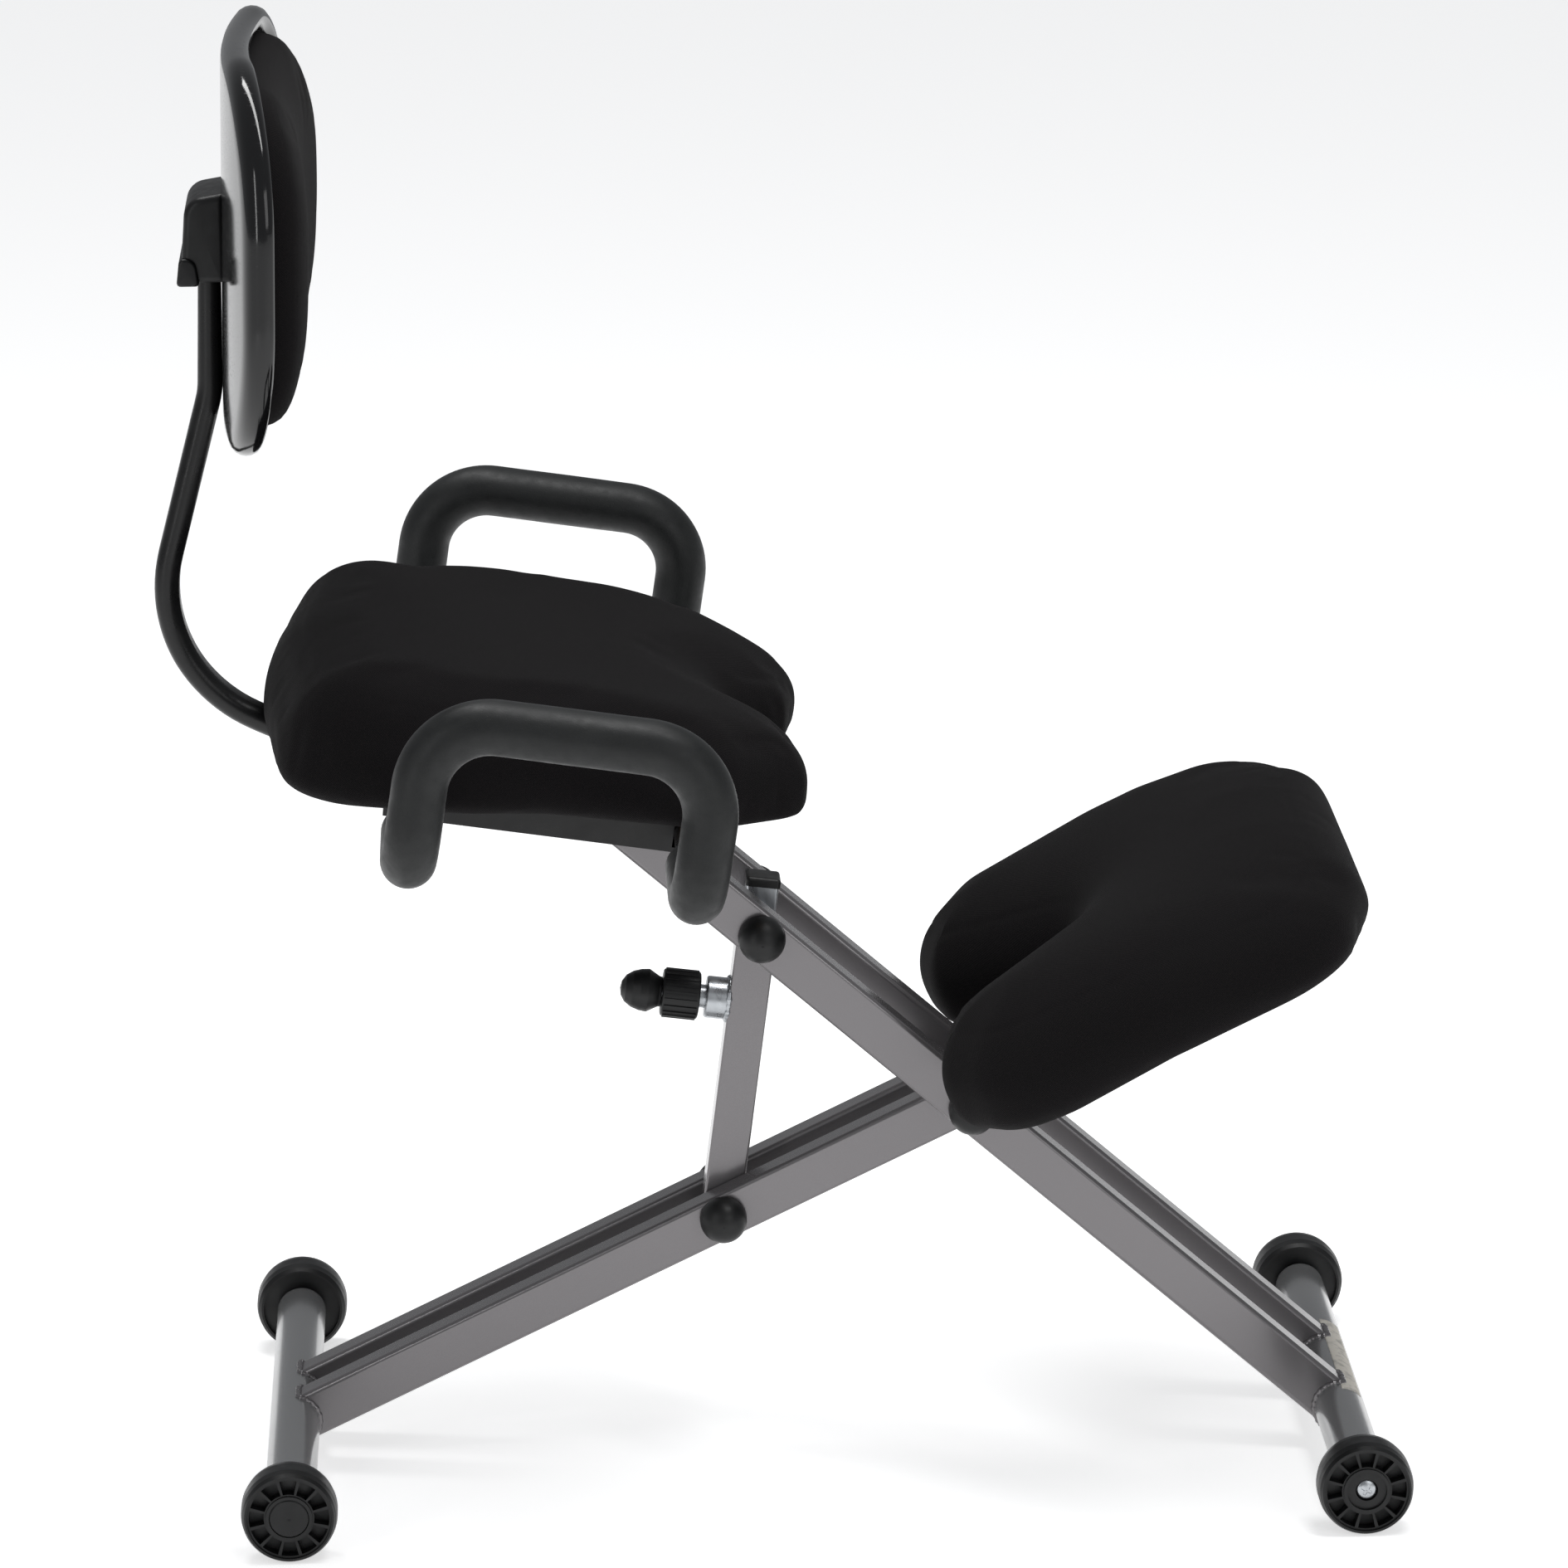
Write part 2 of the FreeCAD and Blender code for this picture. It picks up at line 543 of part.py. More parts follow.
grip = new_body("Grip")
sketch = new_sketch(grip, "XY_Plane")
circle(sketch, "15.2")
circle(sketch, "9")
sketch.AttachmentOffset = Placement(Vector(0, 0, 31), Rotation())
collar = pad(grip, sketch, "24")
round_edges(grip, collar, "1.6", lambda e: abs(e.Curve.Radius - 15.2) < 0.01 if
            hasattr(e.Curve, "Radius") else False)
rib = new_sketch(grip, "XY_Plane", "Rib")
polygon(rib, [("14.4", "-1.1"), ("16", "-0.8"), ("16", "0.8"), ("14.4", "1.1")])
rib.AttachmentOffset = Placement(Vector(0, 0, 32.4), Rotation())
rib_pad = pad(grip, rib, "21.2")
ribs = grip.newObject("PartDesign::PolarPattern", "Ribs")
ribs.Originals = [rib_pad]
ribs.Axis = (origin_plane(grip, "Z_Axis"), [""])
ribs.Angle = 360
ribs.Occurrences = 20
grip.Tip = ribs
doc.recompute()
keep(grip, "pin_grip", PIN)

rod = turned("PullRod", [
    ("0", "8"), ("2.6", "8"), ("pin_radius", "9.6"), ("pin_radius", "33"), ("6.2", "33"),
    ("6.2", "35"), ("pin_radius", "35"), ("pin_radius", "64"), ("0", "64")])
keep(rod, "pull_rod", PIN)
spring = ring("PinSpring", "6.1", "4.9", "43.2", "49.9")
keep(spring, "pin_spring", PIN)
ball = turned("PullBall", [
    ("4", "55.4"), ("9.5", "55.4"), ("9.8", "57"), ("13.8", "64"), ("13.2", "69"), ("11.6", "74"),
    ("8.6", "78.4"), ("4.6", "81"), ("0", "81.8"), ("0", "64"), ("4", "64")])
keep(ball, "pull_ball", PIN)


# ---------------------------------------------------------------- cushions and their boards

def corner_arc(before, corner, after, radius):
    """Where the arc that rounds a corner starts, passes and ends."""
    back = (before - corner).normalize()
    ahead = (after - corner).normalize()
    half_turn = (math.pi - back.getAngle(ahead)) / 2
    reach = radius * math.tan(half_turn)
    inward = (back + ahead).normalize()
    middle = corner + inward * (radius / math.cos(half_turn) - radius)
    return corner + back * reach, middle, corner + ahead * reach


def closed_outline(half_outline, inset=0.0):
    """A symmetric outline with rounded corners from its half, drawn in by an inset."""
    mirrored = [((u, -v), radius) for (u, v), radius in reversed(half_outline) if v > 0]
    whole = half_outline + mirrored
    corners = [Vector(u, v, 0) for (u, v), radius in whole]
    arcs = []
    for i, (_, radius) in enumerate(whole):
        arcs.append(corner_arc(corners[i - 1], corners[i], corners[(i + 1) % len(whole)], radius))
    edges = []
    for i, (first, middle, last) in enumerate(arcs):
        edges.append(Part.Arc(first, middle, last).toShape())
        edges.append(Part.makeLine(last, arcs[(i + 1) % len(arcs)][0]))
    wire = Part.Wire(edges)
    return wire.makeOffset2D(-inset) if inset else wire


def slab(wire, low, high):
    solid = Part.Face(wire).extrude(Vector(0, 0, high - low))
    solid.translate(Vector(0, 0, low))
    return solid


def cushion(half_outline, low, high, board_top, inset):
    """A padded block with rounded top edges and a recess below for its board."""
    block = slab(closed_outline(half_outline), low, high)
    rim = [e for e in block.Edges if min(v.Point.z for v in e.Vertexes) > high - 0.01]
    block = block.makeFillet(18, rim)
    return block.cut(slab(closed_outline(half_outline, inset - 0.5), low - 1, board_top + 0.3))


seat_low = dim("tray_depth")
seat_board_top = seat_low + dim("seat_board_thickness")
plain("SeatCushion", cushion(SEAT_OUTLINE, seat_low, dim("seat_cushion_top"), seat_board_top, 16),
      "seat_cushion", SEAT)
seat_board = slab(closed_outline(SEAT_OUTLINE, 16), seat_low, seat_board_top)

knee_low = dim("knee_plate_thickness")
knee_board_top = knee_low + dim("knee_board_thickness")
plain("KneeCushion", cushion(KNEE_OUTLINE, knee_low - 3, dim("knee_cushion_top"), knee_board_top, 18),
      "knee_cushion", KNEE)
knee_board = slab(closed_outline(KNEE_OUTLINE, 18), knee_low, knee_board_top)


# ---------------------------------------------------------------- seat tray and its fixings

TRAY_BOLTS = [(u, v) for u in (-55, 68) for v in (-105, 105)]
HANDLE_BOLTS = [(u, v) for u in (dim("handle_rear_u"), dim("handle_front_u")) for v in (-90, 90)]
BACK_BOLTS = [(-70, 0), (-30, 0)]
SMALL_BOLT = "3"

tray = new_body("SeatTray")
sketch = new_sketch(tray, "YZ_Plane")
polygon(sketch, [
    ("-tray_half_width", "0"), ("tray_half_width", "0"), ("tray_half_width", "tray_depth - 0.05"),
    ("tray_half_width - tray_wall", "tray_depth - 0.05"), ("tray_half_width - tray_wall", "tray_wall"),
    ("-tray_half_width + tray_wall", "tray_wall"), ("-tray_half_width + tray_wall", "tray_depth - 0.05"),
    ("-tray_half_width", "tray_depth - 0.05")])
pad(tray, sketch, "2 * tray_half_length", midplane=True)
slots = new_sketch(tray, "XZ_Plane", "HandleSlots")
for u in ("handle_rear_u", "handle_front_u"):
    polygon(slots, [(u + " - handle_tube_radius - 0.1", "tray_wall"),
                    (u + " + handle_tube_radius + 0.1", "tray_wall"),
                    (u + " + handle_tube_radius + 0.1", "tray_depth + 1"),
                    (u + " - handle_tube_radius - 0.1", "tray_depth + 1")])
pocket_through(tray, slots)
holes = new_sketch(tray, "XY_Plane", "BoltHoles")
for u, v in TRAY_BOLTS + HANDLE_BOLTS + BACK_BOLTS:
    circle(holes, "3.05", str(u), str(v))
pocket_through(tray, holes)
keep(tray, "seat_tray", SEAT)


def bolts(name, places, top, label, frame, bottom="0", radius=SMALL_BOLT):
    members = []
    for i, (u, v) in enumerate(places):
        member = bolt(name + str(i), radius, bottom, top, "2 * " + radius, "4")
        member.Placement = Placement(Vector(u, v, 0), Rotation())
        members.append(member)
    group(name, members, label, frame)


def drilled(shape, places, low, high, radius=3.05):
    for u, v in places:
        shape = shape.cut(Part.makeCylinder(radius, high - low, Vector(u, v, low)))
    return shape


bolts("TrayBolts", TRAY_BOLTS, "tray_depth + 9", "seat_bolts", SEAT)
bolts("HandleBolts", HANDLE_BOLTS, "tray_depth + 9", "handle_bolts", SEAT)
bolts("BackBolts", BACK_BOLTS, "tray_wall + bar_thickness + 4", "back_bar_bolts", SEAT)
plain("SeatBoard", drilled(seat_board, TRAY_BOLTS + HANDLE_BOLTS, seat_low - 1, seat_low + 9.1),
      "seat_board", SEAT)


# ---------------------------------------------------------------- bent tubes

def bent_path(points, radii):
    """A wire of straight runs joined by tangent arcs."""
    edges = []
    start = points[0]
    for before, corner, after, radius in zip(points, points[1:], points[2:], radii):
        first, middle, last = corner_arc(before, corner, after, radius)
        edges.append(Part.makeLine(start, first))
        edges.append(Part.Arc(first, middle, last).toShape())
        start = last
    edges.append(Part.makeLine(start, points[-1]))
    return Part.Wire(edges)


def round_pipe(path, outer, inner):
    """A round tube along a path, hollow when inner is not zero."""
    start = path.Edges[0]
    at, heading = start.valueAt(start.FirstParameter), start.tangentAt(start.FirstParameter)
    solids = []
    for radius in (outer, inner):
        if radius > 0:
            section = Part.Wire(Part.makeCircle(radius, at, heading))
            solids.append(path.makePipeShell([section], True, True))
    return solids[0].cut(solids[1]) if len(solids) == 2 else solids[0]


def handle_points(sign, root_y):
    low, top, reach = dim("handle_low_w"), dim("handle_top_w"), dim("handle_y")
    rear, front = dim("handle_rear_u"), dim("handle_front_u")
    return [Vector(rear, sign * root_y, low), Vector(rear, sign * reach, low),
            Vector(rear, sign * reach, top), Vector(front, sign * reach, top),
            Vector(front, sign * reach, low), Vector(front, sign * root_y, low)]


handle_radii = [dim("handle_elbow"), dim("handle_corner"), dim("handle_corner"), dim("handle_elbow")]
for side, sign in SIDES.items():
    tube_path = bent_path(handle_points(sign, dim("handle_root_y")), handle_radii)
    tube = round_pipe(tube_path, dim("handle_tube_radius"), dim("handle_tube_radius - 1.5"))
    tube = drilled(tube, HANDLE_BOLTS, -5, 30)
    plain("HandleTube" + side, tube, "handle_tube_" + side, SEAT)
    foam_path = bent_path(handle_points(sign, dim("foam_start_y")), handle_radii)
    foam = round_pipe(foam_path, dim("foam_radius"), dim("handle_tube_radius"))
    plain("HandleFoam" + side, foam, "handle_foam_" + side, SEAT)

# The back bar: flat-sided oval bar from the housing down, round under the seat.
tray_end = SEAT.multVec(Vector(0, 0, dim("tray_wall + bar_thickness / 2")))
bend_in = SEAT.multVec(Vector(-172, 0, dim("tray_wall + bar_thickness / 2")))
bar_points = [Vector(dim("back_bar_x"), 0, dim("back_bar_top")),
              Vector(dim("back_bar_x") - 1.5, 0, dim("back_bar_kink")),
              Vector(-395, 0, 525), bend_in, tray_end]
bar_path = bent_path(bar_points, [60, 92, 90])


def stadium(thickness, breadth):
    """A flat bar's section, rounded at both edges, in the XY plane."""
    half, flat = thickness / 2, (breadth - thickness) / 2
    return Part.Wire([
        Part.makeLine(Vector(-half, -flat, 0), Vector(-half, flat, 0)),
        Part.Arc(Vector(-half, flat, 0), Vector(0, flat + half, 0), Vector(half, flat, 0)).toShape(),
        Part.makeLine(Vector(half, flat, 0), Vector(half, -flat, 0)),
        Part.Arc(Vector(half, -flat, 0), Vector(0, -flat - half, 0), Vector(-half, -flat, 0)).toShape()])


section = stadium(dim("bar_thickness"), dim("bar_breadth"))
heading = bar_path.Edges[0].tangentAt(bar_path.Edges[0].FirstParameter)
section.Placement = Placement(bar_points[0], Rotation(Vector(0, 0, -1), heading))
back_bar = bar_path.makePipeShell([section], True, True)
for u, v in BACK_BOLTS:
    foot_point = SEAT.multVec(Vector(u, v, -5))
    back_bar = back_bar.cut(Part.makeCylinder(3.05, 40, foot_point, SEAT.Rotation.multVec(Vector(0, 0, 1))))
plain("BackBar", back_bar, "back_bar")


# ---------------------------------------------------------------- backrest

def plate_outline(width, height, corner, x):
    """A rounded rectangle in a plane across X, centred on the backrest."""
    middle = dim("shell_middle_z")
    block = Part.makeBox(1, width, height, Vector(x, -width / 2, middle - height / 2))
    uprights = [e for e in block.Edges if abs(e.Vertexes[0].Point.x - e.Vertexes[-1].Point.x) > 0.5]
    block = block.makeFillet(corner, uprights)
    return [w.OuterWire for w in block.Faces if abs(w.CenterOfMass.x - x) < 0.01 and
            abs(w.normalAt(0, 0).x) > 0.9][0]


def curved_slab(rear_offset, front_offset, wire):
    """The part of an outline's prism between two upright cylinders, the curve of the back."""
    axis = Vector(dim("shell_rear + shell_curve"), 0, 500)
    prism = Part.Face(wire).extrude(Vector(160, 0, 0))
    rear = Part.makeCylinder(dim("shell_curve") - rear_offset, 600, axis)
    front = Part.makeCylinder(dim("shell_curve") - front_offset, 600, axis)
    return prism.common(rear).cut(front)


start_x = dim("shell_rear") - 5
outer_wire = plate_outline(dim("shell_width"), dim("shell_height"), dim("shell_corner"), start_x)
inset = dim("pad_inset")
inner_wire = plate_outline(dim("shell_width") - 2 * inset, dim("shell_height") - 2 * inset,
                           dim("shell_corner") - inset, start_x)
shell = curved_slab(0, dim("shell_rim"), outer_wire)
shell = shell.cut(curved_slab(dim("shell_wall"), dim("shell_rim") + 5, inner_wire))
shell_screws = [(y, z) for y in (-20, 20) for z in (784, 820)]
for y, z in shell_screws:
    shell = shell.cut(Part.makeCylinder(2.05, 30, Vector(dim("shell_rear") - 10, y, z), Vector(1, 0, 0)))
plain("BackShell", shell, "back_shell")
pad_wire = plate_outline(dim("shell_width") - 2 * inset - 0.6, dim("shell_height") - 2 * inset - 0.6,
                         dim("shell_corner") - inset - 0.3, start_x)
back_pad = curved_slab(dim("shell_wall") + 5, dim("shell_rim + pad_depth"), pad_wire)
plain("BackPad", back_pad, "back_pad")

housing = new_body("Housing")
sketch = new_sketch(housing, "XY_Plane")
polygon(sketch, [("housing_rear", "-housing_half_width"), ("shell_rear - 0.3", "-housing_half_width"),
                 ("shell_rear - 0.3", "housing_half_width"), ("housing_rear", "housing_half_width")])
sketch.AttachmentOffset = Placement(Vector(0, 0, dim("housing_bottom")), Rotation())
sketch.setExpression("AttachmentOffset.Base.z", with_sheet("housing_bottom"))
block = pad(housing, sketch, "housing_top - housing_bottom")
rear_x, top_z = dim("housing_rear"), dim("housing_top")
round_edges(housing, block, "9", lambda e: all(abs(v.Point.x - rear_x) < 0.01 for v in e.Vertexes)
            and max(v.Point.z for v in e.Vertexes) > top_z - 0.01)
lip = new_sketch(housing, "XY_Plane", "Lip")
polygon(lip, [("housing_rear - 3", "-housing_half_width - 4"),
              ("shell_rear - 0.3", "-housing_half_width - 4"),
              ("shell_rear - 0.3", "housing_half_width + 4"),
              ("housing_rear - 3", "housing_half_width + 4")])
lip.AttachmentOffset = Placement(Vector(0, 0, dim("housing_bottom - 2")), Rotation())
pad(housing, lip, "10")
channel = new_sketch(housing, "XY_Plane", "Channel")
polygon(channel, [("back_bar_x - bar_thickness / 2 - 1.8", "-bar_breadth / 2 - 0.5"),
                  ("back_bar_x + bar_thickness / 2 + 0.6", "-bar_breadth / 2 - 0.5"),
                  ("back_bar_x + bar_thickness / 2 + 0.6", "bar_breadth / 2 + 0.5"),
                  ("back_bar_x - bar_thickness / 2 - 1.8", "bar_breadth / 2 + 0.5")])
channel.AttachmentOffset = Placement(Vector(0, 0, dim("back_bar_top + 0.6")), Rotation())
cut = housing.newObject("PartDesign::Pocket", "Channel")
cut.Profile = channel
bind(cut, Length="200")
doc.recompute()
screw_holes = new_sketch(housing, "YZ_Plane", "ScrewHoles")
for y, z in shell_screws:
    circle(screw_holes, "2.05", str(y), str(z))
screw_holes.AttachmentOffset = Placement(Vector(0, 0, dim("shell_rear") - 11), Rotation())
before = housing.Shape.Volume
cut = housing.newObject("PartDesign::Pocket", "ScrewHoles")
cut.Profile = screw_holes
cut.Reversed = True
bind(cut, Length="20")
doc.recompute()
if housing.Shape.Volume > before - 100:
    raise RuntimeError("the screw holes cut nothing")
keep(housing, "back_housing")

screws = []
for i, (y, z) in enumerate(shell_screws):
    screw = bolt("ShellScrew" + str(i), "2", "0", "14", "3.6", "2")
    screw.Placement = Placement(Vector(dim("shell_rear") + 4, y, z), Rotation(Vector(0, 1, 0), -90))
    screws.append(screw)
group("ShellScrews", screws, "back_screws")


# ---------------------------------------------------------------- knee pad's fixings

KNEE_BOLTS = [(25, 0), (80, 0)]
plate = new_body("KneePlate")
sketch = new_sketch(plate, "XY_Plane")
polygon(sketch, [("6", "-70"), ("106", "-70"), ("106", "70"), ("6", "70")])
for u, v in KNEE_BOLTS:
    circle(sketch, "4.05", str(u), str(v))
pad(plate, sketch, "knee_plate_thickness")
keep(plate, "knee_plate", KNEE)

clamp = new_body("KneeClamp")
sketch = new_sketch(clamp, "XY_Plane")
polygon(sketch, [("-8", "-33"), ("98", "-33"), ("98", "33"), ("-8", "33")])
for u, v in KNEE_BOLTS:
    circle(sketch, "4.05", str(u), str(v))
pad(clamp, sketch, "3")
keep(clamp, "knee_clamp", KNEE.multiply(Placement(Vector(0, 0, -dim("beam_depth") - 3), Rotation())))
bolts("KneeBolts", KNEE_BOLTS, "beam_depth + 3 + knee_plate_thickness + 7", "knee_bolts",
      KNEE.multiply(Placement(Vector(0, 0, -dim("beam_depth") - 3), Rotation())), radius="4")
plain("KneeBoard", drilled(knee_board, KNEE_BOLTS, knee_low - 1, knee_low + 7.2, 4.05),
      "knee_board", KNEE)


# ---------------------------------------------------------------- checks and files

doc.recompute()
for thing in doc.Objects:
    if "Invalid" in thing.State or "Error" in thing.State:
        raise RuntimeError(thing.Name + " failed: " + str(thing.State))
os.makedirs("parts", exist_ok=True)
for thing in parts:
    if thing.Shape.isNull() or not thing.Shape.isValid():
        raise RuntimeError(thing.Label + " has no valid shape")
    thing.Shape.exportStep("parts/" + thing.Label + ".step")
print(len(parts), "sub-parts")
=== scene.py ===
import json
import math

import bmesh
import bpy
import numpy as np
from mathutils import Matrix, Vector, noise


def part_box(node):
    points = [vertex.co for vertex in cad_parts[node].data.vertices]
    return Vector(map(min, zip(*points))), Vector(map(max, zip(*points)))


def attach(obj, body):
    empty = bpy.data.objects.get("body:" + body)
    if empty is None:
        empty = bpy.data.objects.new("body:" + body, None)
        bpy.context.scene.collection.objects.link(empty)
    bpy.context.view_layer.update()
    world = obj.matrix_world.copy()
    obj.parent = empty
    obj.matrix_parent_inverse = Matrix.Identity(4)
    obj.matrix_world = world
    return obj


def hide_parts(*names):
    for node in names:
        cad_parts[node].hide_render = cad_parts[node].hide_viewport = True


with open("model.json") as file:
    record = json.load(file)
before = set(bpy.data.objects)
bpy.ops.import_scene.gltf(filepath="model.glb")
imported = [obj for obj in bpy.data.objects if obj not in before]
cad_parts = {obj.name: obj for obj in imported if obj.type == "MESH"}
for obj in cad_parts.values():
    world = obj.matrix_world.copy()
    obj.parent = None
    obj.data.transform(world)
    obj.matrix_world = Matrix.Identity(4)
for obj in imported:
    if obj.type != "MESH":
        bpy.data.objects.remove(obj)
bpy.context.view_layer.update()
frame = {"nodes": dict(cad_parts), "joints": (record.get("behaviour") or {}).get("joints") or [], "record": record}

# A kneeling chair in metres: +X to the front, +Y to the sitter's left, +Z up.
MM = 0.001
scene = bpy.context.scene
joints = {joint["name"]: joint for joint in frame["joints"]}
record = frame["record"]


# ---------------------------------------------------------------- frames of reference

def frame_matrix(origin, forward, upward):
    """A local frame whose X is forward, Z is upward and Y is the chair's own +Y."""
    across = Vector((0, 1, 0))
    matrix = Matrix((forward, across, upward)).transposed().to_4x4()
    matrix.translation = origin
    return matrix


def point_of(name):
    return Vector(joints[name]["pos_m"])


def local_box(node, matrix):
    """Lowest and highest corner of a CAD node in a local frame."""
    inverse = matrix.inverted()
    places = np.array([inverse @ v.co for v in frame["nodes"][node].data.vertices])
    return Vector(places.min(0)), Vector(places.max(0))


tray_edge = record["mounts"][0]
seat_forward = Vector(tray_edge["axis"])
seat_up = Vector((-seat_forward.z, 0, seat_forward.x))
tray_underside = Vector(tray_edge["pos_m"]) - seat_forward * 0.192 - seat_up * 0.0015
SEAT = frame_matrix(tray_underside, seat_forward, seat_up)
knee_forward = (point_of("frame_fold") - point_of("strut_swing")).normalized()
knee_up = Vector((-knee_forward.z, 0, knee_forward.x))
KNEE = frame_matrix(point_of("frame_fold"), knee_forward, knee_up)
strut_up = Vector(joints["strut_slide"]["axis"])
STRUT = frame_matrix(point_of("strut_swing"), Vector((strut_up.z, 0, -strut_up.x)), strut_up)
pin_out = Vector(joints["collar_turn"]["axis"])
PIN = frame_matrix(point_of("collar_turn"), Vector((pin_out.z, 0, -pin_out.x)), pin_out)


# ---------------------------------------------------------------- materials

class Paint:
    """One procedural material: a Principled shader and the nodes that feed it."""

    def __init__(self, name, colour, roughness, metallic=0.0, specular=0.5, coat=0.0, sheen=0.0):
        self.material = bpy.data.materials.new(name)
        self.material.use_nodes = True
        self.tree = self.material.node_tree
        self.shader = self.tree.nodes["Principled BSDF"]
        self.colour = (*colour, 1)
        self.set("Base Color", self.colour)
        self.set("Roughness", roughness)
        self.set("Metallic", metallic)
        self.set("Specular IOR Level", specular)
        self.set("Coat Weight", coat)
        self.set("Coat Roughness", 0.12)
        self.set("Sheen Weight", sheen)
        self.set("Sheen Roughness", 0.45)
        self.place = self.tree.nodes.new("ShaderNodeTexCoord").outputs["Object"]

    def set(self, socket, value):
        self.shader.inputs[socket].default_value = value

    def node(self, kind, **inputs):
        made = self.tree.nodes.new(kind)
        for name, value in inputs.items():
            socket = made.inputs[name.replace("_", " ")]
            if isinstance(value, bpy.types.NodeSocket):
                self.tree.links.new(value, socket)
            else:
                socket.default_value = value
        return made

    def math(self, operation, first, second=0.0, third=0.0):
        made = self.tree.nodes.new("ShaderNodeMath")
        made.operation = operation
        for socket, value in zip(made.inputs, (first, second, third)):
            if isinstance(value, bpy.types.NodeSocket):
                self.tree.links.new(value, socket)
            else:
                socket.default_value = value
        return made.outputs[0]

    def noise(self, scale, detail=3.0, rough=0.55, stretch=(1, 1, 1)):
        mapping = self.node("ShaderNodeMapping", Vector=self.place, Scale=stretch)
        made = self.node("ShaderNodeTexNoise", Vector=mapping.outputs[0], Scale=scale, Detail=detail,
                         Roughness=rough)
        return made.outputs["Fac"]

    def cells(self, scale):
        made = self.node("ShaderNodeTexVoronoi", Vector=self.place, Scale=scale)
        return made.outputs["Distance"]

    def spread(self, value, low, high, bottom=0.0, top=1.0):
        made = self.node("ShaderNodeMapRange", Value=value, From_Min=low, From_Max=high, To_Min=bottom,
                         To_Max=top)
        return made.outputs["Result"]

    def tint(self, factor, other):
        """Blends the base colour towards another by a factor."""
        made = self.tree.nodes.new("ShaderNodeMix")
        made.data_type = "RGBA"
        self.tree.links.new(factor, made.inputs["Factor"])
        base = self.shader.inputs["Base Color"]
        if base.is_linked:
            self.tree.links.new(base.links[0].from_socket, made.inputs["A"])
        else:
            made.inputs["A"].default_value = self.colour
        made.inputs["B"].default_value = (*other, 1)
        self.tree.links.new(made.outputs["Result"], base)

    def rough(self, value):
        self.tree.links.new(value, self.shader.inputs["Roughness"])

    def bump(self, height, distance, strength=1.0):
        made = self.node("ShaderNodeBump", Height=height, Strength=strength, Distance=distance)
        normal = self.shader.inputs["Normal"]
        if normal.is_linked:
            self.tree.links.new(normal.links[0].from_socket, made.inputs["Normal"])
        self.tree.links.new(made.outputs["Normal"], normal)


def frame_paint(name, colour, streak=(1, 1, 1)):
    """Silver-grey powder coat: fine metallic speckle and a faint orange peel."""
    paint = Paint(name, colour, 0.26, metallic=0.65, coat=0.3)
    speckle = paint.spread(paint.noise(2600, 1), 0.4, 0.65)
    paint.tint(speckle, tuple(c * 1.12 for c in colour))
    cloud = paint.spread(paint.noise(5, 1), 0.35, 0.75, 0.0, 0.25)
    paint.tint(cloud, tuple(c * 0.88 for c in colour))
    paint.rough(paint.spread(paint.noise(12, 1), 0.2, 0.8, 0.22, 0.28))
    paint.bump(paint.noise(2200, 1, stretch=streak), 0.00002, 0.3)
    return paint.material


def black_paint(name):
    """Satin black powder coat on steel."""
    paint = Paint(name, (0.004, 0.004, 0.0043), 0.3, specular=0.35)
    paint.rough(paint.spread(paint.noise(70, 4), 0.3, 0.7, 0.24, 0.38))
    paint.bump(paint.noise(500, 3), 0.0001, 0.5)
    return paint.material


def zinc(name):
    """Bright zinc plating: soft blotches, fine draw lines and a bluish cast."""
    paint = Paint(name, (0.44, 0.46, 0.48), 0.3, metallic=1.0)
    paint.tint(paint.spread(paint.noise(35, 5), 0.4, 0.7, 0.0, 0.55), (0.3, 0.31, 0.33))
    paint.rough(paint.spread(paint.noise(160, 5, stretch=(1, 1, 0.1)), 0.3, 0.7, 0.2, 0.42))
    paint.bump(paint.noise(900, 3, stretch=(1, 1, 0.08)), 0.00006, 0.6)
    return paint.material


def moulded(name, roughness=0.42, colour=(0.004, 0.0042, 0.0045)):
    """Moulded black plastic with a fine spark-eroded grain."""
    paint = Paint(name, colour, roughness, specular=0.35)
    paint.tint(paint.spread(paint.noise(24, 4), 0.45, 0.75, 0.0, 0.5), (0.009, 0.009, 0.0095))
    paint.rough(paint.spread(paint.noise(90, 4), 0.3, 0.7, roughness - 0.07, roughness + 0.1))
    paint.bump(paint.noise(1500, 2), 0.00008, 0.5)
    return paint.material


def gloss_shell(name):
    """Glossy moulded shell: slow waves from the mould, and hairline scratches in the gloss."""
    paint = Paint(name, (0.004, 0.004, 0.0045), 0.16, specular=0.45)
    scratches = paint.spread(paint.noise(260, 6, stretch=(0.4, 1, 6)), 0.55, 0.72, 0.1, 0.26)
    paint.rough(scratches)
    paint.bump(paint.noise(14, 1), 0.0006, 0.35)
    paint.bump(paint.noise(1100, 2), 0.00003, 0.4)
    return paint.material


def soft_foam(name):
    """Closed-cell foam sleeve: matt skin with tiny open pores and a soft sheen."""
    paint = Paint(name, (0.0052, 0.006, 0.0062), 0.5, specular=0.34, sheen=0.03)
    paint.tint(paint.spread(paint.noise(48, 5), 0.42, 0.72, 0.0, 0.6), (0.0095, 0.0108, 0.011))
    pores = paint.spread(paint.cells(900), 0.0, 0.35)
    paint.rough(paint.spread(paint.noise(120, 4), 0.3, 0.7, 0.42, 0.58))
    paint.bump(paint.noise(110, 4), 0.0004, 0.3)
    paint.bump(pores, 0.00012, 0.5)
    return paint.material


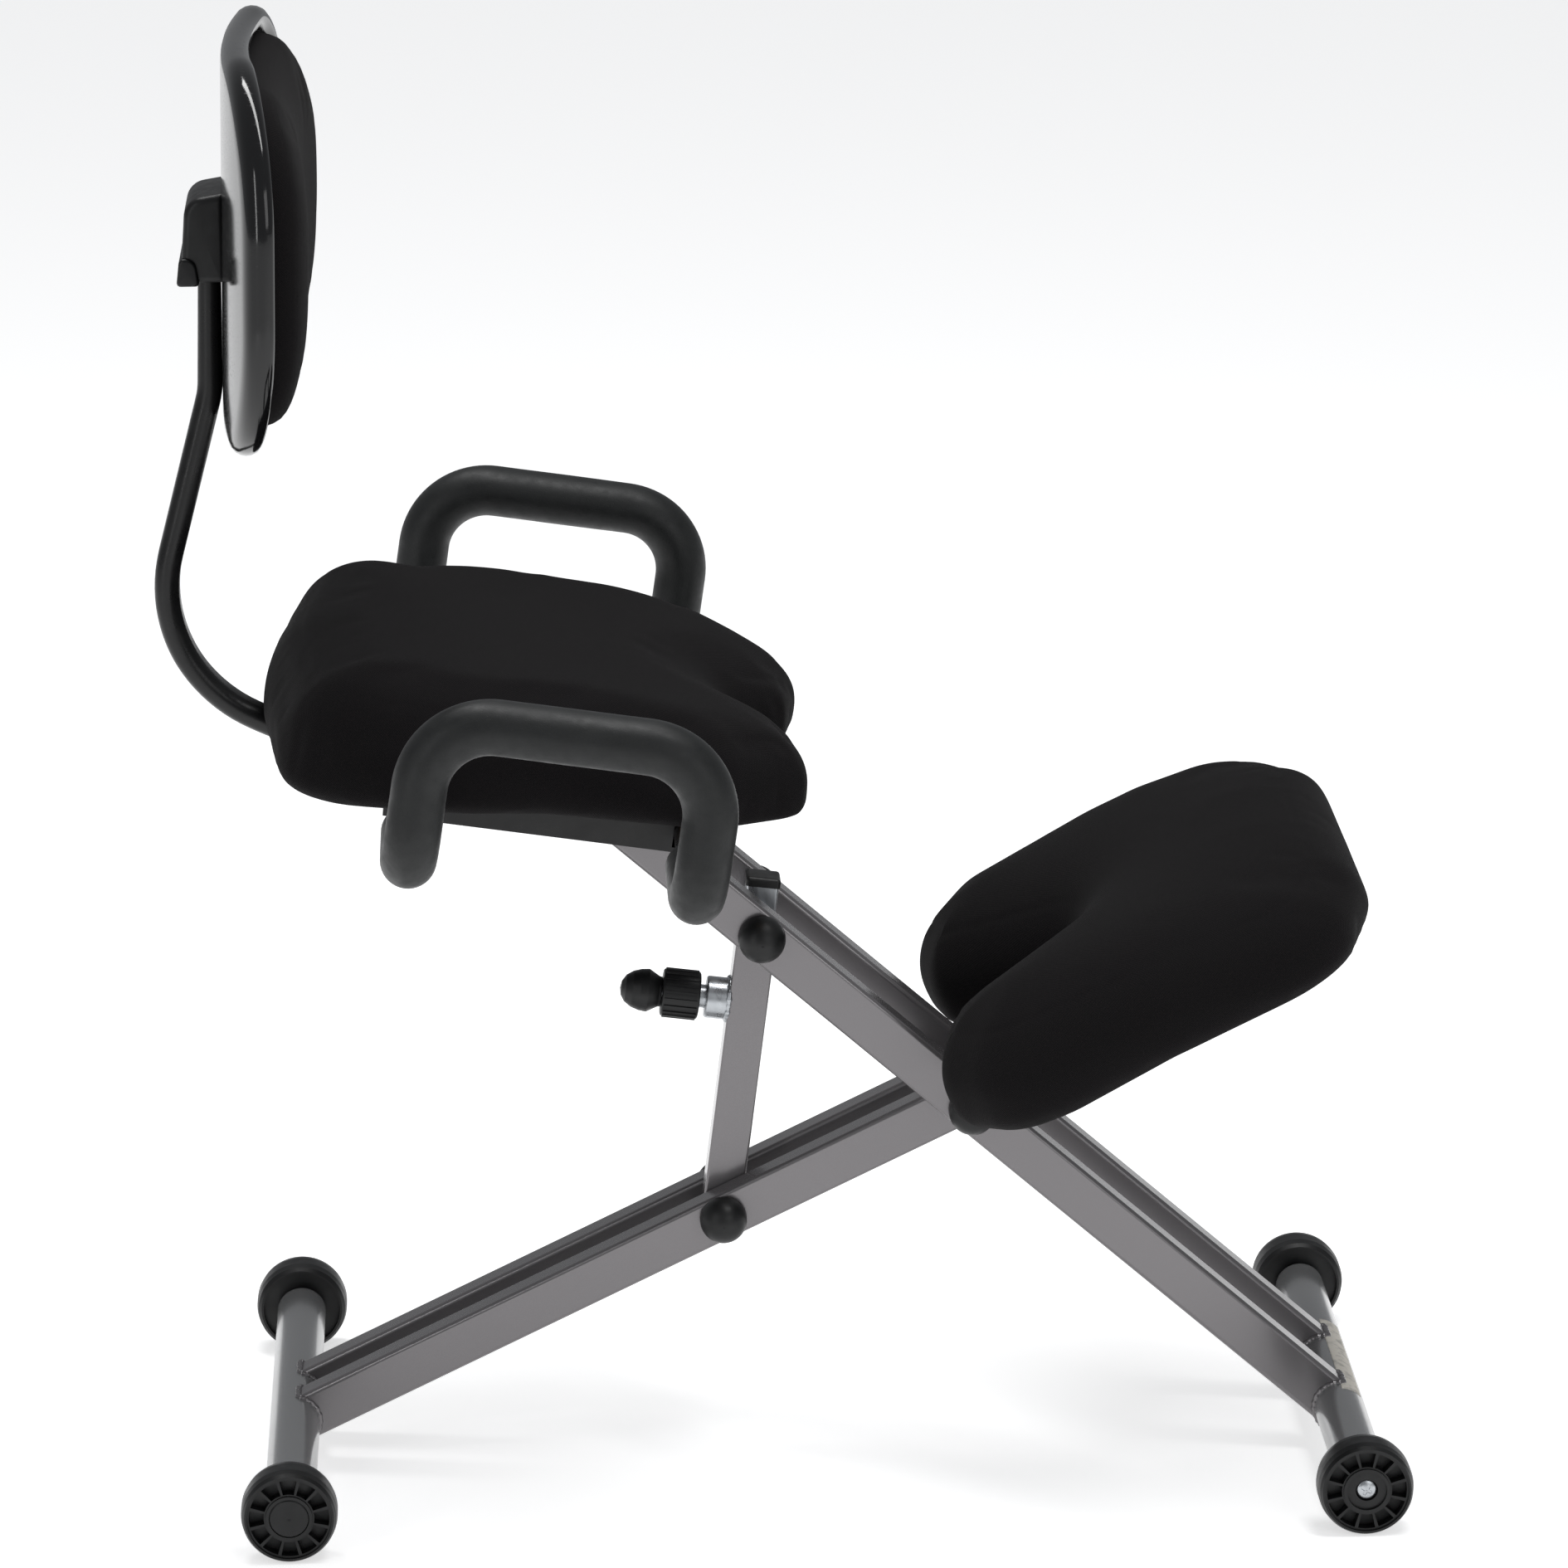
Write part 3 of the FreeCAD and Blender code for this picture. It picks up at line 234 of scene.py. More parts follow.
def box_mapped(paint):
    """Two coordinates along the surface, picked by the direction that it faces most."""
    facing = paint.node("ShaderNodeSeparateXYZ", Vector=paint.place.node.outputs["Normal"])
    place = paint.node("ShaderNodeSeparateXYZ", Vector=paint.place)
    size = [paint.math("ABSOLUTE", facing.outputs[i]) for i in range(3)]
    tallest = paint.math("MAXIMUM", paint.math("MAXIMUM", size[0], size[1]), size[2])
    is_x = paint.math("GREATER_THAN", size[0], paint.math("SUBTRACT", tallest, 0.0001))
    is_z = paint.math("GREATER_THAN", size[2], paint.math("SUBTRACT", tallest, 0.0001))
    x, y, z = (place.outputs[i] for i in range(3))

    def pick(when, yes, no):
        made = paint.tree.nodes.new("ShaderNodeMix")
        for socket, value in ((made.inputs["Factor"], when), (made.inputs["A"], no), (made.inputs["B"], yes)):
            paint.tree.links.new(value, socket)
        return made.outputs["Result"]

    along = pick(is_x, y, x)
    up = pick(is_z, y, z)
    return along, up


def cloth_weave(name, thread=0.00075):
    """Near-black upholstery cloth: a plain weave of slightly uneven threads with reddish flecks."""
    paint = Paint(name, (0.0042, 0.0038, 0.0042), 0.9, specular=0.1, sheen=0.02)
    along, up = box_mapped(paint)
    turn = 2 * math.pi / (2 * thread)
    drift = paint.spread(paint.noise(220, 2), 0.2, 0.8, -0.9, 0.9)
    warp = paint.math("SINE", paint.math("ADD", paint.math("MULTIPLY", along, turn), drift))
    weft = paint.math("SINE", paint.math("ADD", paint.math("MULTIPLY", up, turn), drift))
    weave = paint.math("MULTIPLY", warp, weft)
    flecks = paint.spread(paint.noise(1300, 2, 0.7), 0.5, 0.75, 0.0, 0.8)
    paint.tint(flecks, (0.0115, 0.0082, 0.0085))
    paint.tint(paint.spread(paint.noise(15, 3), 0.45, 0.75, 0.0, 0.5), (0.006, 0.0054, 0.0057))
    paint.tint(paint.spread(weave, 0.2, 1.0, 0.0, 0.35), (0.0105, 0.0096, 0.0102))
    paint.bump(paint.noise(60, 3), 0.0005, 0.25)
    paint.bump(weave, 0.00022, 0.55)
    return paint.material


def plywood(name):
    """Raw plywood: long grain lines and pale plies."""
    paint = Paint(name, (0.42, 0.29, 0.17), 0.65)
    paint.tint(paint.spread(paint.noise(55, 5, stretch=(0.12, 1, 1)), 0.35, 0.7), (0.25, 0.15, 0.08))
    paint.bump(paint.noise(90, 4, stretch=(0.1, 1, 1)), 0.0003, 0.5)
    return paint.material


def paper(name):
    """A worn, scuffed paper label with nothing printed on it."""
    paint = Paint(name, (0.62, 0.59, 0.53), 0.7)
    paint.tint(paint.spread(paint.noise(130, 6), 0.5, 0.66, 0.0, 0.75), (0.3, 0.29, 0.27))
    paint.bump(paint.noise(300, 4), 0.0001, 0.5)
    return paint.material


FINISH = {
    "frame_paint": frame_paint("grey_paint", (0.165, 0.157, 0.162)),
    "bar_paint": frame_paint("pale_grey_paint", (0.27, 0.272, 0.275), (1, 0.03, 1)),
    "black_steel": black_paint("black_steel"),
    "zinc": zinc("zinc_plating"),
    "black_plastic": moulded("black_plastic"),
    "gloss_black": gloss_shell("gloss_black_shell"),
    "chrome_tube": black_paint("handle_tube_paint"),
    "foam": soft_foam("handle_foam_skin"),
    "cloth": cloth_weave("upholstery_cloth"),
    "plywood": plywood("plywood"),
}
for subpart in record["subparts"]:
    node_object = frame["nodes"][subpart["node"]]
    for slot in node_object.material_slots:
        slot.material = FINISH[subpart["material_slot"]]


# ---------------------------------------------------------------- making and placing pieces

def make_piece(name, places, faces, matrix, body, slot_name, replaces=()):
    """A mesh piece given in a local frame, stored in the chair's frame and riding on a body."""
    mesh = bpy.data.meshes.new(name)
    mesh.from_pydata([matrix @ Vector(p) for p in places], [], faces)
    mesh.polygons.foreach_set("use_smooth", [True] * len(mesh.polygons))
    mesh.materials.append(FINISH[slot_name])
    mesh.update()
    piece = bpy.data.objects.new(name, mesh)
    scene.collection.objects.link(piece)
    tidy = bmesh.new()
    tidy.from_mesh(mesh)
    bmesh.ops.recalc_face_normals(tidy, faces=tidy.faces)
    tidy.to_mesh(mesh)
    tidy.free()
    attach(piece, body)
    if replaces:
        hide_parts(*replaces)
    return piece


def loft(loops):
    """Vertices and faces that join loops of equal length, the ends drawn in to a point."""
    count = len(loops[0])
    places = [tuple(p) for loop in loops for p in loop]
    faces = []
    for ring in range(len(loops) - 1):
        for i in range(count):
            j = (i + 1) % count
            faces.append((ring * count + i, ring * count + j, (ring + 1) * count + j, (ring + 1) * count + i))
    for ring in (0, len(loops) - 1):
        centre = Vector(np.mean([tuple(p) for p in loops[ring]], axis=0))
        places.append(tuple(centre))
        hub = len(places) - 1
        for i in range(count):
            faces.append((hub, ring * count + (i + 1) % count, ring * count + i))
    return places, faces


def corner_arc(before, corner, after, radius, step):
    """Points along the arc that rounds a corner."""
    back = (before - corner).normalized()
    ahead = (after - corner).normalized()
    half_turn = (math.pi - back.angle(ahead)) / 2
    reach = radius * math.tan(half_turn)
    inward = (back + ahead).normalized()
    centre = corner + inward * (radius / math.cos(half_turn))
    first = corner + back * reach - centre
    axis = first.cross(corner + ahead * reach - centre).normalized()
    count = max(2, math.ceil(2 * half_turn * radius / step))
    return [centre + Matrix.Rotation(2 * half_turn * i / count, 3, axis) @ first for i in range(count + 1)]


def rounded_outline(half_outline, step=4.0):
    """A closed outline, symmetric about its first axis, with each corner rounded, in millimetres."""
    mirrored = [((u, -v), radius) for (u, v), radius in reversed(half_outline) if v > 0]
    return round_all(half_outline + mirrored, step)


def round_all(whole, step):
    """A closed outline with each corner rounded, from (corner, radius) pairs."""
    corners = [Vector((u, v, 0)) for (u, v), _ in whole]
    loop = []
    for i, (_, radius) in enumerate(whole):
        loop += corner_arc(corners[i - 1], corners[i], corners[(i + 1) % len(whole)], radius, step)
    return even_loop(loop, step)


def even_loop(points, step):
    """The same closed line with its points spaced evenly."""
    line = np.array([tuple(p) for p in points] + [tuple(points[0])])[:, :2]
    lengths = np.r_[0, np.cumsum(np.linalg.norm(np.diff(line, axis=0), axis=1))]
    count = int(round(lengths[-1] / step))
    at = np.linspace(0, lengths[-1], count, endpoint=False)
    return np.c_[np.interp(at, lengths, line[:, 0]), np.interp(at, lengths, line[:, 1])]


def pipe(path, radius_at, sides=32):
    """Loops round a path; radius_at takes how far along the path a point is, from 0 to 1."""
    path = [Vector(p) for p in path]
    lengths = [0.0]
    for before, after in zip(path, path[1:]):
        lengths.append(lengths[-1] + (after - before).length)
    loops = []
    side = None
    for i, centre in enumerate(path):
        heading = (path[min(i + 1, len(path) - 1)] - path[max(i - 1, 0)]).normalized()
        if side is None:
            side = heading.orthogonal().normalized()
        side = (side - heading * side.dot(heading)).normalized()
        up = heading.cross(side)
        radius = radius_at(lengths[i] / lengths[-1], i)
        loops.append([centre + radius * (math.cos(t) * side + math.sin(t) * up)
                      for t in (2 * math.pi * k / sides for k in range(sides))])
    return loops


# ---------------------------------------------------------------- soft pieces

def nearest_on(loop, places):
    """How far inside a closed outline each point is, and which way is inwards."""
    start = loop
    run = np.roll(loop, -1, axis=0) - start
    area = 0.5 * np.sum(start[:, 0] * np.roll(start[:, 1], -1) - np.roll(start[:, 0], -1) * start[:, 1])
    normal = np.c_[-run[:, 1], run[:, 0]] / np.linalg.norm(run, axis=1)[:, None] * np.sign(area)
    away = np.zeros(len(places))
    inward = np.zeros((len(places), 2))
    for block in range(0, len(places), 2000):
        part = places[block:block + 2000, None, :] - start[None]
        along = np.clip(np.sum(part * run, axis=2) / np.sum(run * run, axis=1), 0, 1)
        gap = part - along[..., None] * run[None]
        distance = np.linalg.norm(gap, axis=2)
        best = np.argmin(distance, axis=1)
        rows = np.arange(len(best))
        signed = np.sum(gap[rows, best] * normal[best], axis=1)
        away[block:block + 2000] = distance[rows, best] * np.sign(signed)
        clear = distance[rows, best] > 0.5
        direction = np.where(clear[:, None], gap[rows, best] / np.maximum(distance[rows, best], 1e-6)[:, None]
                             * np.sign(signed)[:, None], normal[best])
        inward[block:block + 2000] = direction
    return away, inward


def rounded_rim(places, loop, level, reach, depth, power, sign):
    """Rolls the sharp rim at a level over into a soft one, reach across and depth up or down."""
    away, inward = nearest_on(loop, places[:, :2])
    a = np.clip(1 - away / reach, 0, 1)
    b = np.clip(1 - sign * (level - places[:, 2]) / depth, 0, 1)
    both = (a > 0) & (b > 0)
    norm = np.where(both, (a ** power + b ** power) ** (1 / power), 1)
    scale = np.where(both, np.maximum(a, b) / np.maximum(norm, 1e-6), 1)
    moved = places.copy()
    moved[:, :2] += inward * (reach * (a - a * scale))[:, None]
    moved[:, 2] -= sign * depth * (b - b * scale)
    return moved


def voxel_block(name, loop, low, high, voxel):
    """A straight-sided block remeshed into even squares, in millimetres; returns (places, faces)."""
    mesh = bpy.data.meshes.new(name)
    count = len(loop)
    places = [(u, v, low) for u, v in loop] + [(u, v, high) for u, v in loop]
    faces = [tuple(range(count)), tuple(range(2 * count - 1, count - 1, -1))]
    faces += [(i, (i + 1) % count, count + (i + 1) % count, count + i) for i in range(count)]
    mesh.from_pydata(places, [], faces)
    piece = bpy.data.objects.new(name, mesh)
    scene.collection.objects.link(piece)
    triangulate = piece.modifiers.new("Triangulate", "TRIANGULATE")
    triangulate.quad_method = "BEAUTY"
    remesh = piece.modifiers.new("Remesh", "REMESH")
    remesh.mode = "VOXEL"
    remesh.voxel_size = voxel
    evaluated = piece.evaluated_get(bpy.context.evaluated_depsgraph_get()).data
    result = np.zeros(len(evaluated.vertices) * 3)
    evaluated.vertices.foreach_get("co", result)
    quads = [tuple(p.vertices) for p in evaluated.polygons]
    bpy.data.objects.remove(piece)
    bpy.data.meshes.remove(mesh)
    return result.reshape(-1, 3), quads


def inflate(piece, pressure, most, held, frames=20):
    """Cloth simulation under pressure; held gives each vertex's pin weight. Moves are capped."""
    mesh = piece.data
    before = np.zeros(len(mesh.vertices) * 3)
    mesh.vertices.foreach_get("co", before)
    before = before.reshape(-1, 3)
    group = piece.vertex_groups.new(name="held")
    for i, weight in enumerate(held):
        if weight > 0.01:
            group.add([i], float(weight), "REPLACE")
    cloth = piece.modifiers.new("Cloth", "CLOTH")
    cloth.settings.quality = 5
    cloth.settings.mass = 0.2
    cloth.settings.tension_stiffness = 18
    cloth.settings.compression_stiffness = 18
    cloth.settings.shear_stiffness = 8
    cloth.settings.bending_stiffness = 0.6
    cloth.settings.use_pressure = True
    cloth.settings.uniform_pressure_force = pressure
    cloth.settings.effector_weights.gravity = 0
    cloth.settings.vertex_group_mass = "held"
    cloth.collision_settings.use_collision = False
    cloth.point_cache.frame_start = 1
    cloth.point_cache.frame_end = frames
    for number in range(1, frames + 1):
        scene.frame_set(number)
    evaluated = piece.evaluated_get(bpy.context.evaluated_depsgraph_get()).data
    after = np.zeros(len(evaluated.vertices) * 3)
    evaluated.vertices.foreach_get("co", after)
    move = after.reshape(-1, 3) - before
    length = np.linalg.norm(move, axis=1)
    move *= (np.minimum(length, most) / np.maximum(length, 1e-9))[:, None]
    piece.modifiers.remove(cloth)
    piece.vertex_groups.remove(group)
    mesh.vertices.foreach_set("co", (before + move).ravel())
    mesh.update()
    scene.frame_set(1)


def relax(piece, rounds, factor=0.5):
    """Evens out a mesh a little, then gives it one level of subdivision."""
    smooth = piece.modifiers.new("Smooth", "SMOOTH")
    smooth.factor = factor
    smooth.iterations = rounds
    subdivide = piece.modifiers.new("Subdivide", "SUBSURF")
    subdivide.levels = 1
    subdivide.render_levels = 1
    evaluated = piece.evaluated_get(bpy.context.evaluated_depsgraph_get())
    mesh = bpy.data.meshes.new_from_object(evaluated)
    piece.modifiers.clear()
    old = piece.data
    name = old.name
    piece.data = mesh
    bpy.data.meshes.remove(old)
    mesh.name = name
    mesh.polygons.foreach_set("use_smooth", [True] * len(mesh.polygons))


def upholstered(name, places, faces, matrix, body, node, held, pressure, most):
    """Turns a block in millimetres into a simulated cushion that replaces a CAD solid."""
    piece = make_piece(name, places * MM, faces, matrix, body, "cloth", (node,))
    inflate(piece, pressure, most, held)
    relax(piece, 4)
    return piece


SEAT_OUTLINE = [((97, 0), 24), ((146, 52), 24), ((155, 112), 34), ((96, 171), 60),
                ((-60, 189), 110), ((-172, 167), 46), ((-186, 0), 300)]
KNEE_OUTLINE = [((0, 0), 20), ((-114, 72), 22), ((-123, 120), 30), ((-90, 174), 50),
                ((20, 197), 100), ((138, 195), 60), ((167, 110), 50)]
VOXEL = 5.0


def shifted(half_outline, along):
    return [((u + along, v), radius) for (u, v), radius in half_outline]


def gathered(places, loop, height, where, depth=0.9):
    """Fine gathers in the cloth, running up the sides of a cushion, in millimetres."""
    away, inward = nearest_on(loop, places[:, :2])
    low_fade, high_fade = np.clip(height * 5, 0, 1), np.clip((1.02 - height) * 3, 0, 1)
    side = np.clip(1 - away / 22, 0, 1) * low_fade * high_fade * where
    wave = np.array([noise.noise(Vector((u / 7, v / 7, w / 60))) for u, v, w in places])
    moved = places.copy()
    moved[:, :2] += inward * (depth * side * wave)[:, None]
    return moved


def seat_cushion():
    low_corner, high_corner = local_box("seat_cushion", SEAT)
    along = low_corner.x / MM + 186
    loop = rounded_outline(shifted(SEAT_OUTLINE, along))
    low, high = local_box("seat_board", SEAT)[0].z / MM + 0.4, high_corner.z / MM - 1
    places, faces = voxel_block("seat_block", loop, low, high, VOXEL)
    places = rounded_rim(places, loop, high, 52, 40, 2.2, 1)
    places = rounded_rim(places, loop, low, 14, 12, 2.0, -1)
    u = places[:, 0] - along
    height = np.clip((places[:, 2] - low) / (high - low), 0, 1)
    front = np.clip((u - 20) / 130, 0, 1)
    rear = np.clip((-u - 10) / 120, 0, 1)
    tray_low, tray_high = local_box("seat_tray", SEAT)
    beyond = np.maximum(np.abs(places[:, 1]) - tray_high.y / MM, tray_low.x / MM - places[:, 0])
    overhang = np.clip((beyond - 4) / 14, 0, 1)
    places[:, 2] -= height * 20 * front ** 1.6 + (1 - height) * 13 * rear * overhang
    places[:, 2] += 2.5 * height * np.clip(1 - np.abs(u + 20) / 90, 0, 1)
    places[:, 0] -= 3.5 * rear * (1 - np.abs(places[:, 1]) / 260)
    places = gathered(places, loop, height, (u < -135) | (u > 95))
    held = np.clip(1 - (places[:, 2] - low) / 6, 0, 1)
    return upholstered("seat_cushion_cover", places, faces, SEAT, "seat_leg", "seat_cushion", held,
                       3.0, 0.003)


def knee_cushion():
    low_corner, high_corner = local_box("knee_cushion", KNEE)
    along = high_corner.x / MM - 167
    loop = rounded_outline(shifted(KNEE_OUTLINE, along))
    low, high = local_box("knee_board", KNEE)[0].z / MM - 4, high_corner.z / MM + 0.5
    places, faces = voxel_block("knee_block", loop, low, high, VOXEL)
    places = rounded_rim(places, loop, high, 74, 48, 2.0, 1)
    places = rounded_rim(places, loop, low, 22, 15, 2.0, -1)
    u = places[:, 0] - along
    height = np.clip((places[:, 2] - low) / (high - low), 0, 1)
    front = np.clip((u - 60) / 80, 0, 1) * np.clip((190 - u) / 60, 0, 1)
    places[:, 2] -= height * 9 * front * np.clip((np.abs(places[:, 1]) - 40) / 90, 0, 1)
    places[:, 2] -= (1 - height) * 9 * np.clip((20 - u) / 70, 0, 1)
    places[:, 0] += 3 * np.clip((u - 60) / 90, 0, 1)
    held = np.clip(1 - (places[:, 2] - low) / 6, 0, 1)
    return upholstered("knee_cushion_cover", places, faces, KNEE, "knee_leg", "knee_cushion", held,
                       3.0, 0.005)


seat_cover = seat_cushion()
knee_cover = knee_cushion()


# ---------------------------------------------------------------- backrest

shell_low, shell_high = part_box("back_shell")
BACK_RISE = 4.0 * MM
BACK_MIDDLE = Vector((shell_low.x - 0.0015, 0, (shell_low.z + shell_high.z) / 2 + BACK_RISE))
BACK_HALF = Vector((0, shell_high.y, (shell_high.z - shell_low.z) / 2 - BACK_RISE)) / MM
BACK_PLACE = Matrix.Translation(BACK_MIDDLE) @ Matrix.Rotation(math.radians(1.3), 4, "Y")
BACK_CURVE = 850.0
BACK_CORNER = 96.0


def back_loop(inset, count=168):
    """A rounded rectangle across the back, drawn in by an inset, in millimetres."""
    half_y, half_z = BACK_HALF.y - inset, BACK_HALF.z - inset
    corner = max(BACK_CORNER - inset, 12.0)
    whole = [((half_y, half_z), corner), ((-half_y, half_z), corner), ((-half_y, -half_z), corner),
             ((half_y, -half_z), corner)]
    corners = [Vector((y, z, 0)) for (y, z), _ in whole]
    points = []
    for i in range(4):
        points += corner_arc(corners[i - 1], corners[i], corners[(i + 1) % 4], corner, 6.0)
    points = [Vector((p[0], p[1], 0)) for p in points]
    line = np.array([tuple(p) for p in points] + [tuple(points[0])])[:, :2]
    lengths = np.r_[0, np.cumsum(np.linalg.norm(np.diff(line, axis=0), axis=1))]
    at = np.linspace(0, lengths[-1], count, endpoint=False)
    return np.c_[np.interp(at, lengths, line[:, 0]), np.interp(at, lengths, line[:, 1])]


def on_back(loop, depth):
    """Points of a loop placed on the curved back at a depth in front of the shell's rear."""
    depths = np.broadcast_to(depth, len(loop))
    return [((d + BACK_CURVE - math.sqrt(BACK_CURVE ** 2 - y * y)) * MM, y * MM, z * MM)
            for (y, z), d in zip(loop, depths)]


def back_shell():
    """A dished shell with a rolled rim, open to the front."""
    rim = [(14, 0.0), (9, 0.4), (5, 1.6), (2.2, 3.8), (0.6, 6.6), (0, 9.5), (0.3, 12.5), (1.6, 15.4),
           (4, 17.3), (7, 18.0), (10.5, 17.6), (13, 16.2), (14, 14.0), (14, 8.0), (16, 4.0)]
    loops = []
    for share in (0.08, 0.2, 0.35, 0.5, 0.65, 0.78, 0.9, 0.97):
        loops.append(on_back(back_loop(14) * share, 0.0))
    loops += [on_back(back_loop(inset), depth) for inset, depth in rim]
    for share in (0.9, 0.7, 0.45, 0.2, 0.05):
        loops.append(on_back(back_loop(16) * share, 3.0))
    places, faces = loft(loops)
    return make_piece("back_shell_moulded", places, faces, BACK_PLACE, "backrest", "gloss_black",
                      ("back_shell",))


def back_pad():
    """The pad in the shell: crowned, and thickest above the middle."""
    inner = back_loop(15.5)
    levels = [0.04, 0.1, 0.18, 0.28, 0.4, 0.52, 0.64, 0.75, 0.85, 0.93, 1.0]
    loops = [on_back(inner * share, 9.0) for share in (0.1, 0.3, 0.5, 0.7, 0.85, 0.94)]
    loops.append(on_back(inner * 0.985, 9.5))
    loops.append(on_back(inner, 13.0))
    for level in levels:
        roll = (1 - (1 - min(level / 0.42, 1)) ** 2.2) ** (1 / 2.2)
        loop = inner * (1 - 0.93 * level ** 1.15)
        crown = np.interp(loop[:, 1], [-130, -95, -60, 0, 50, 90, 125], [22, 27, 28, 29, 29, 27, 20])
        loops.append(on_back(loop, 16.0 + crown * roll))
    places, faces = loft(loops)
    piece = make_piece("back_pad_cover", places, faces, BACK_PLACE, "backrest", "cloth", ("back_pad",))
    depth = np.array([p[0] - (BACK_CURVE - math.sqrt(BACK_CURVE ** 2 - (p[1] / MM) ** 2)) * MM
                      for p in places]) / MM
    inflate(piece, 2.0, 0.003, np.clip(1 - (depth - 16) / 4, 0, 1))
    relax(piece, 1)
    return piece


def side_block(profile, half_width, soft):
    """Loops of an XZ profile carried across the chair, in millimetres, with rounded ends."""
    outline = round_all(profile, 1.5)
    middle = outline.mean(axis=0)
    size = np.abs(outline - middle).max(axis=0)
    ends = [(half_width - soft * (1 - math.sin(a)), soft * (1 - math.cos(a)))
            for a in np.linspace(0, math.pi / 2, 7)]
    rows = [(-y, inset) for y, inset in reversed(ends)] + ends
    loops = []
    for y, inset in rows:
        shrunk = middle + (outline - middle) * (1 - inset / size)
        loops.append([(x * MM, y * MM, z * MM) for x, z in shrunk])
    return loops


def housing():
    """The height adjuster's cover: a soft block with a sloping top, and a low lip at its foot."""
    low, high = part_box("back_housing")
    foot = low.z / MM
    front = (shell_low.x + 0.0012) / MM
    rear = low.x / MM
    block = [((rear + 4, foot + 1), 5), ((front, foot + 1), 1), ((front, high.z / MM + 3), 1),
             ((rear + 8, high.z / MM - 1), 13)]
    lip = [((rear + 1.5, foot - 0.5), 2), ((rear + 16, foot - 0.5), 2), ((rear + 13, foot + 20), 7),
           ((rear + 3.5, foot + 16), 4)]
    for name, profile, width, soft in (("housing_cover", block, 32, 5), ("housing_lip", lip, 34.5, 2)):
        places, faces = loft(side_block(profile, width, soft))
        made = make_piece(name, places, faces, Matrix.Identity(4), "backrest", "black_plastic")
        if name == "housing_cover":
            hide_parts("back_housing")


def reshaped(name, node, body, slot_name, move):
    """A copy of a CAD solid's skin with its seams closed and each vertex moved."""
    shape = bmesh.new()
    shape.from_mesh(frame["nodes"][node].data)
    bmesh.ops.remove_doubles(shape, verts=shape.verts, dist=0.00001)
    shape.normal_update()
    shape.verts.index_update()
    places = [tuple(v.co + move(v.co, v.normal)) for v in shape.verts]
    faces = [tuple(v.index for v in f.verts) for f in shape.faces]
    shape.free()
    piece = make_piece(name, places, faces, Matrix.Identity(4), body, slot_name, (node,))
    piece.data.set_sharp_from_angle(angle=math.radians(35))
    return piece


def strut_end():
    """The strut's inner tube and its plug, ending just clear of the upper pivot."""
    pivot_height = (STRUT.inverted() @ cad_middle("upper_pivot_bolt")).z

    def lower(place, normal):
        above = (STRUT.inverted() @ place).z - pivot_height
        return -strut_up * 0.009 if above > 0.012 else Vector()

    reshaped("strut_inner_zinc", "strut_inner_tube", "strut_inner", "zinc", lower)
    reshaped("strut_plug_moulded", "strut_end_plug", "strut_inner", "black_plastic", lower)


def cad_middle(node):
    low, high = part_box(node)
    return (Vector(low) + Vector(high)) / 2


def thick_bar():
    """The bent back bar, a little stouter than its plain solid, with its seams closed."""
    low_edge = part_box("back_housing")[0].z - 0.004

    def swell(place, normal):
        risen = min(max((place.z - 0.47) / 0.06, 0), 1)
        return normal * 0.0013 - Vector((0.0013, 0, 0)) * risen if place.z < low_edge else Vector()

    reshaped("back_bar_painted", "back_bar", "seat_leg", "black_steel", swell)


back_shell()
back_pad()
housing()
thick_bar()
strut_end()


# ---------------------------------------------------------------- handles

def handle_foam(side, sign):
    """A foam sleeve over a bent handle: soft end lips and a slightly uneven skin."""
    node = "handle_foam_" + side
    low, high = local_box(node, SEAT)
    radius = 17 * MM
    reach = (high.y if sign > 0 else -low.y) - radius
    start = (low.y if sign > 0 else -high.y)
    rear, front = low.x + radius, high.x - radius
    bottom, top = low.z + radius, high.z - radius
    corners = [(rear, start, bottom), (rear, reach, bottom), (rear, reach, top), (front, reach, top),
               (front, reach, bottom), (front, start, bottom)]
    corners = [Vector((u, sign * v, w)) for u, v, w in corners]
    path = [corners[0]]
    for before, corner, after, bend in zip(corners, corners[1:], corners[2:], (0.032, 0.042, 0.042, 0.032)):
        path += corner_arc(before, corner, after, bend, 0.003)
    path.append(corners[-1])
    path = fill_runs(path, 0.004)
    total = len(path) - 1

    def radius_at(share, i):
        edge = min(i, total - i)
        lip = 1 - 0.22 * max(0.0, 1 - edge / 2) ** 2
        swell = 0.012 * noise.noise(Vector((share * 9, sign * 3.1, 0)))
        return radius * lip * (0.988 + swell)

    loops = pipe(path, radius_at, 40)
    inner = 9.45 / 17
    for end in (0, -1):
        centre = Vector(path[end])
        loops.insert(0 if end == 0 else len(loops),
                     [centre + (p - centre) * inner / 0.78 for p in loops[end]])
    places, faces = loft(loops)
    return make_piece("handle_sleeve_" + side, places, faces, SEAT, "seat_leg", "foam", (node,))


def fill_runs(path, step):
    """Adds points along the long runs of a path."""
    filled = [path[0]]
    for before, after in zip(path, path[1:]):
        count = max(1, math.ceil((after - before).length / step))
        if (after - before).length > 1e-6:
            filled += [before.lerp(after, i / count) for i in range(1, count + 1)]
    return filled


for side, sign in (("left", 1), ("right", -1)):
    handle_foam(side, sign)


# ---------------------------------------------------------------- welds and small fittings

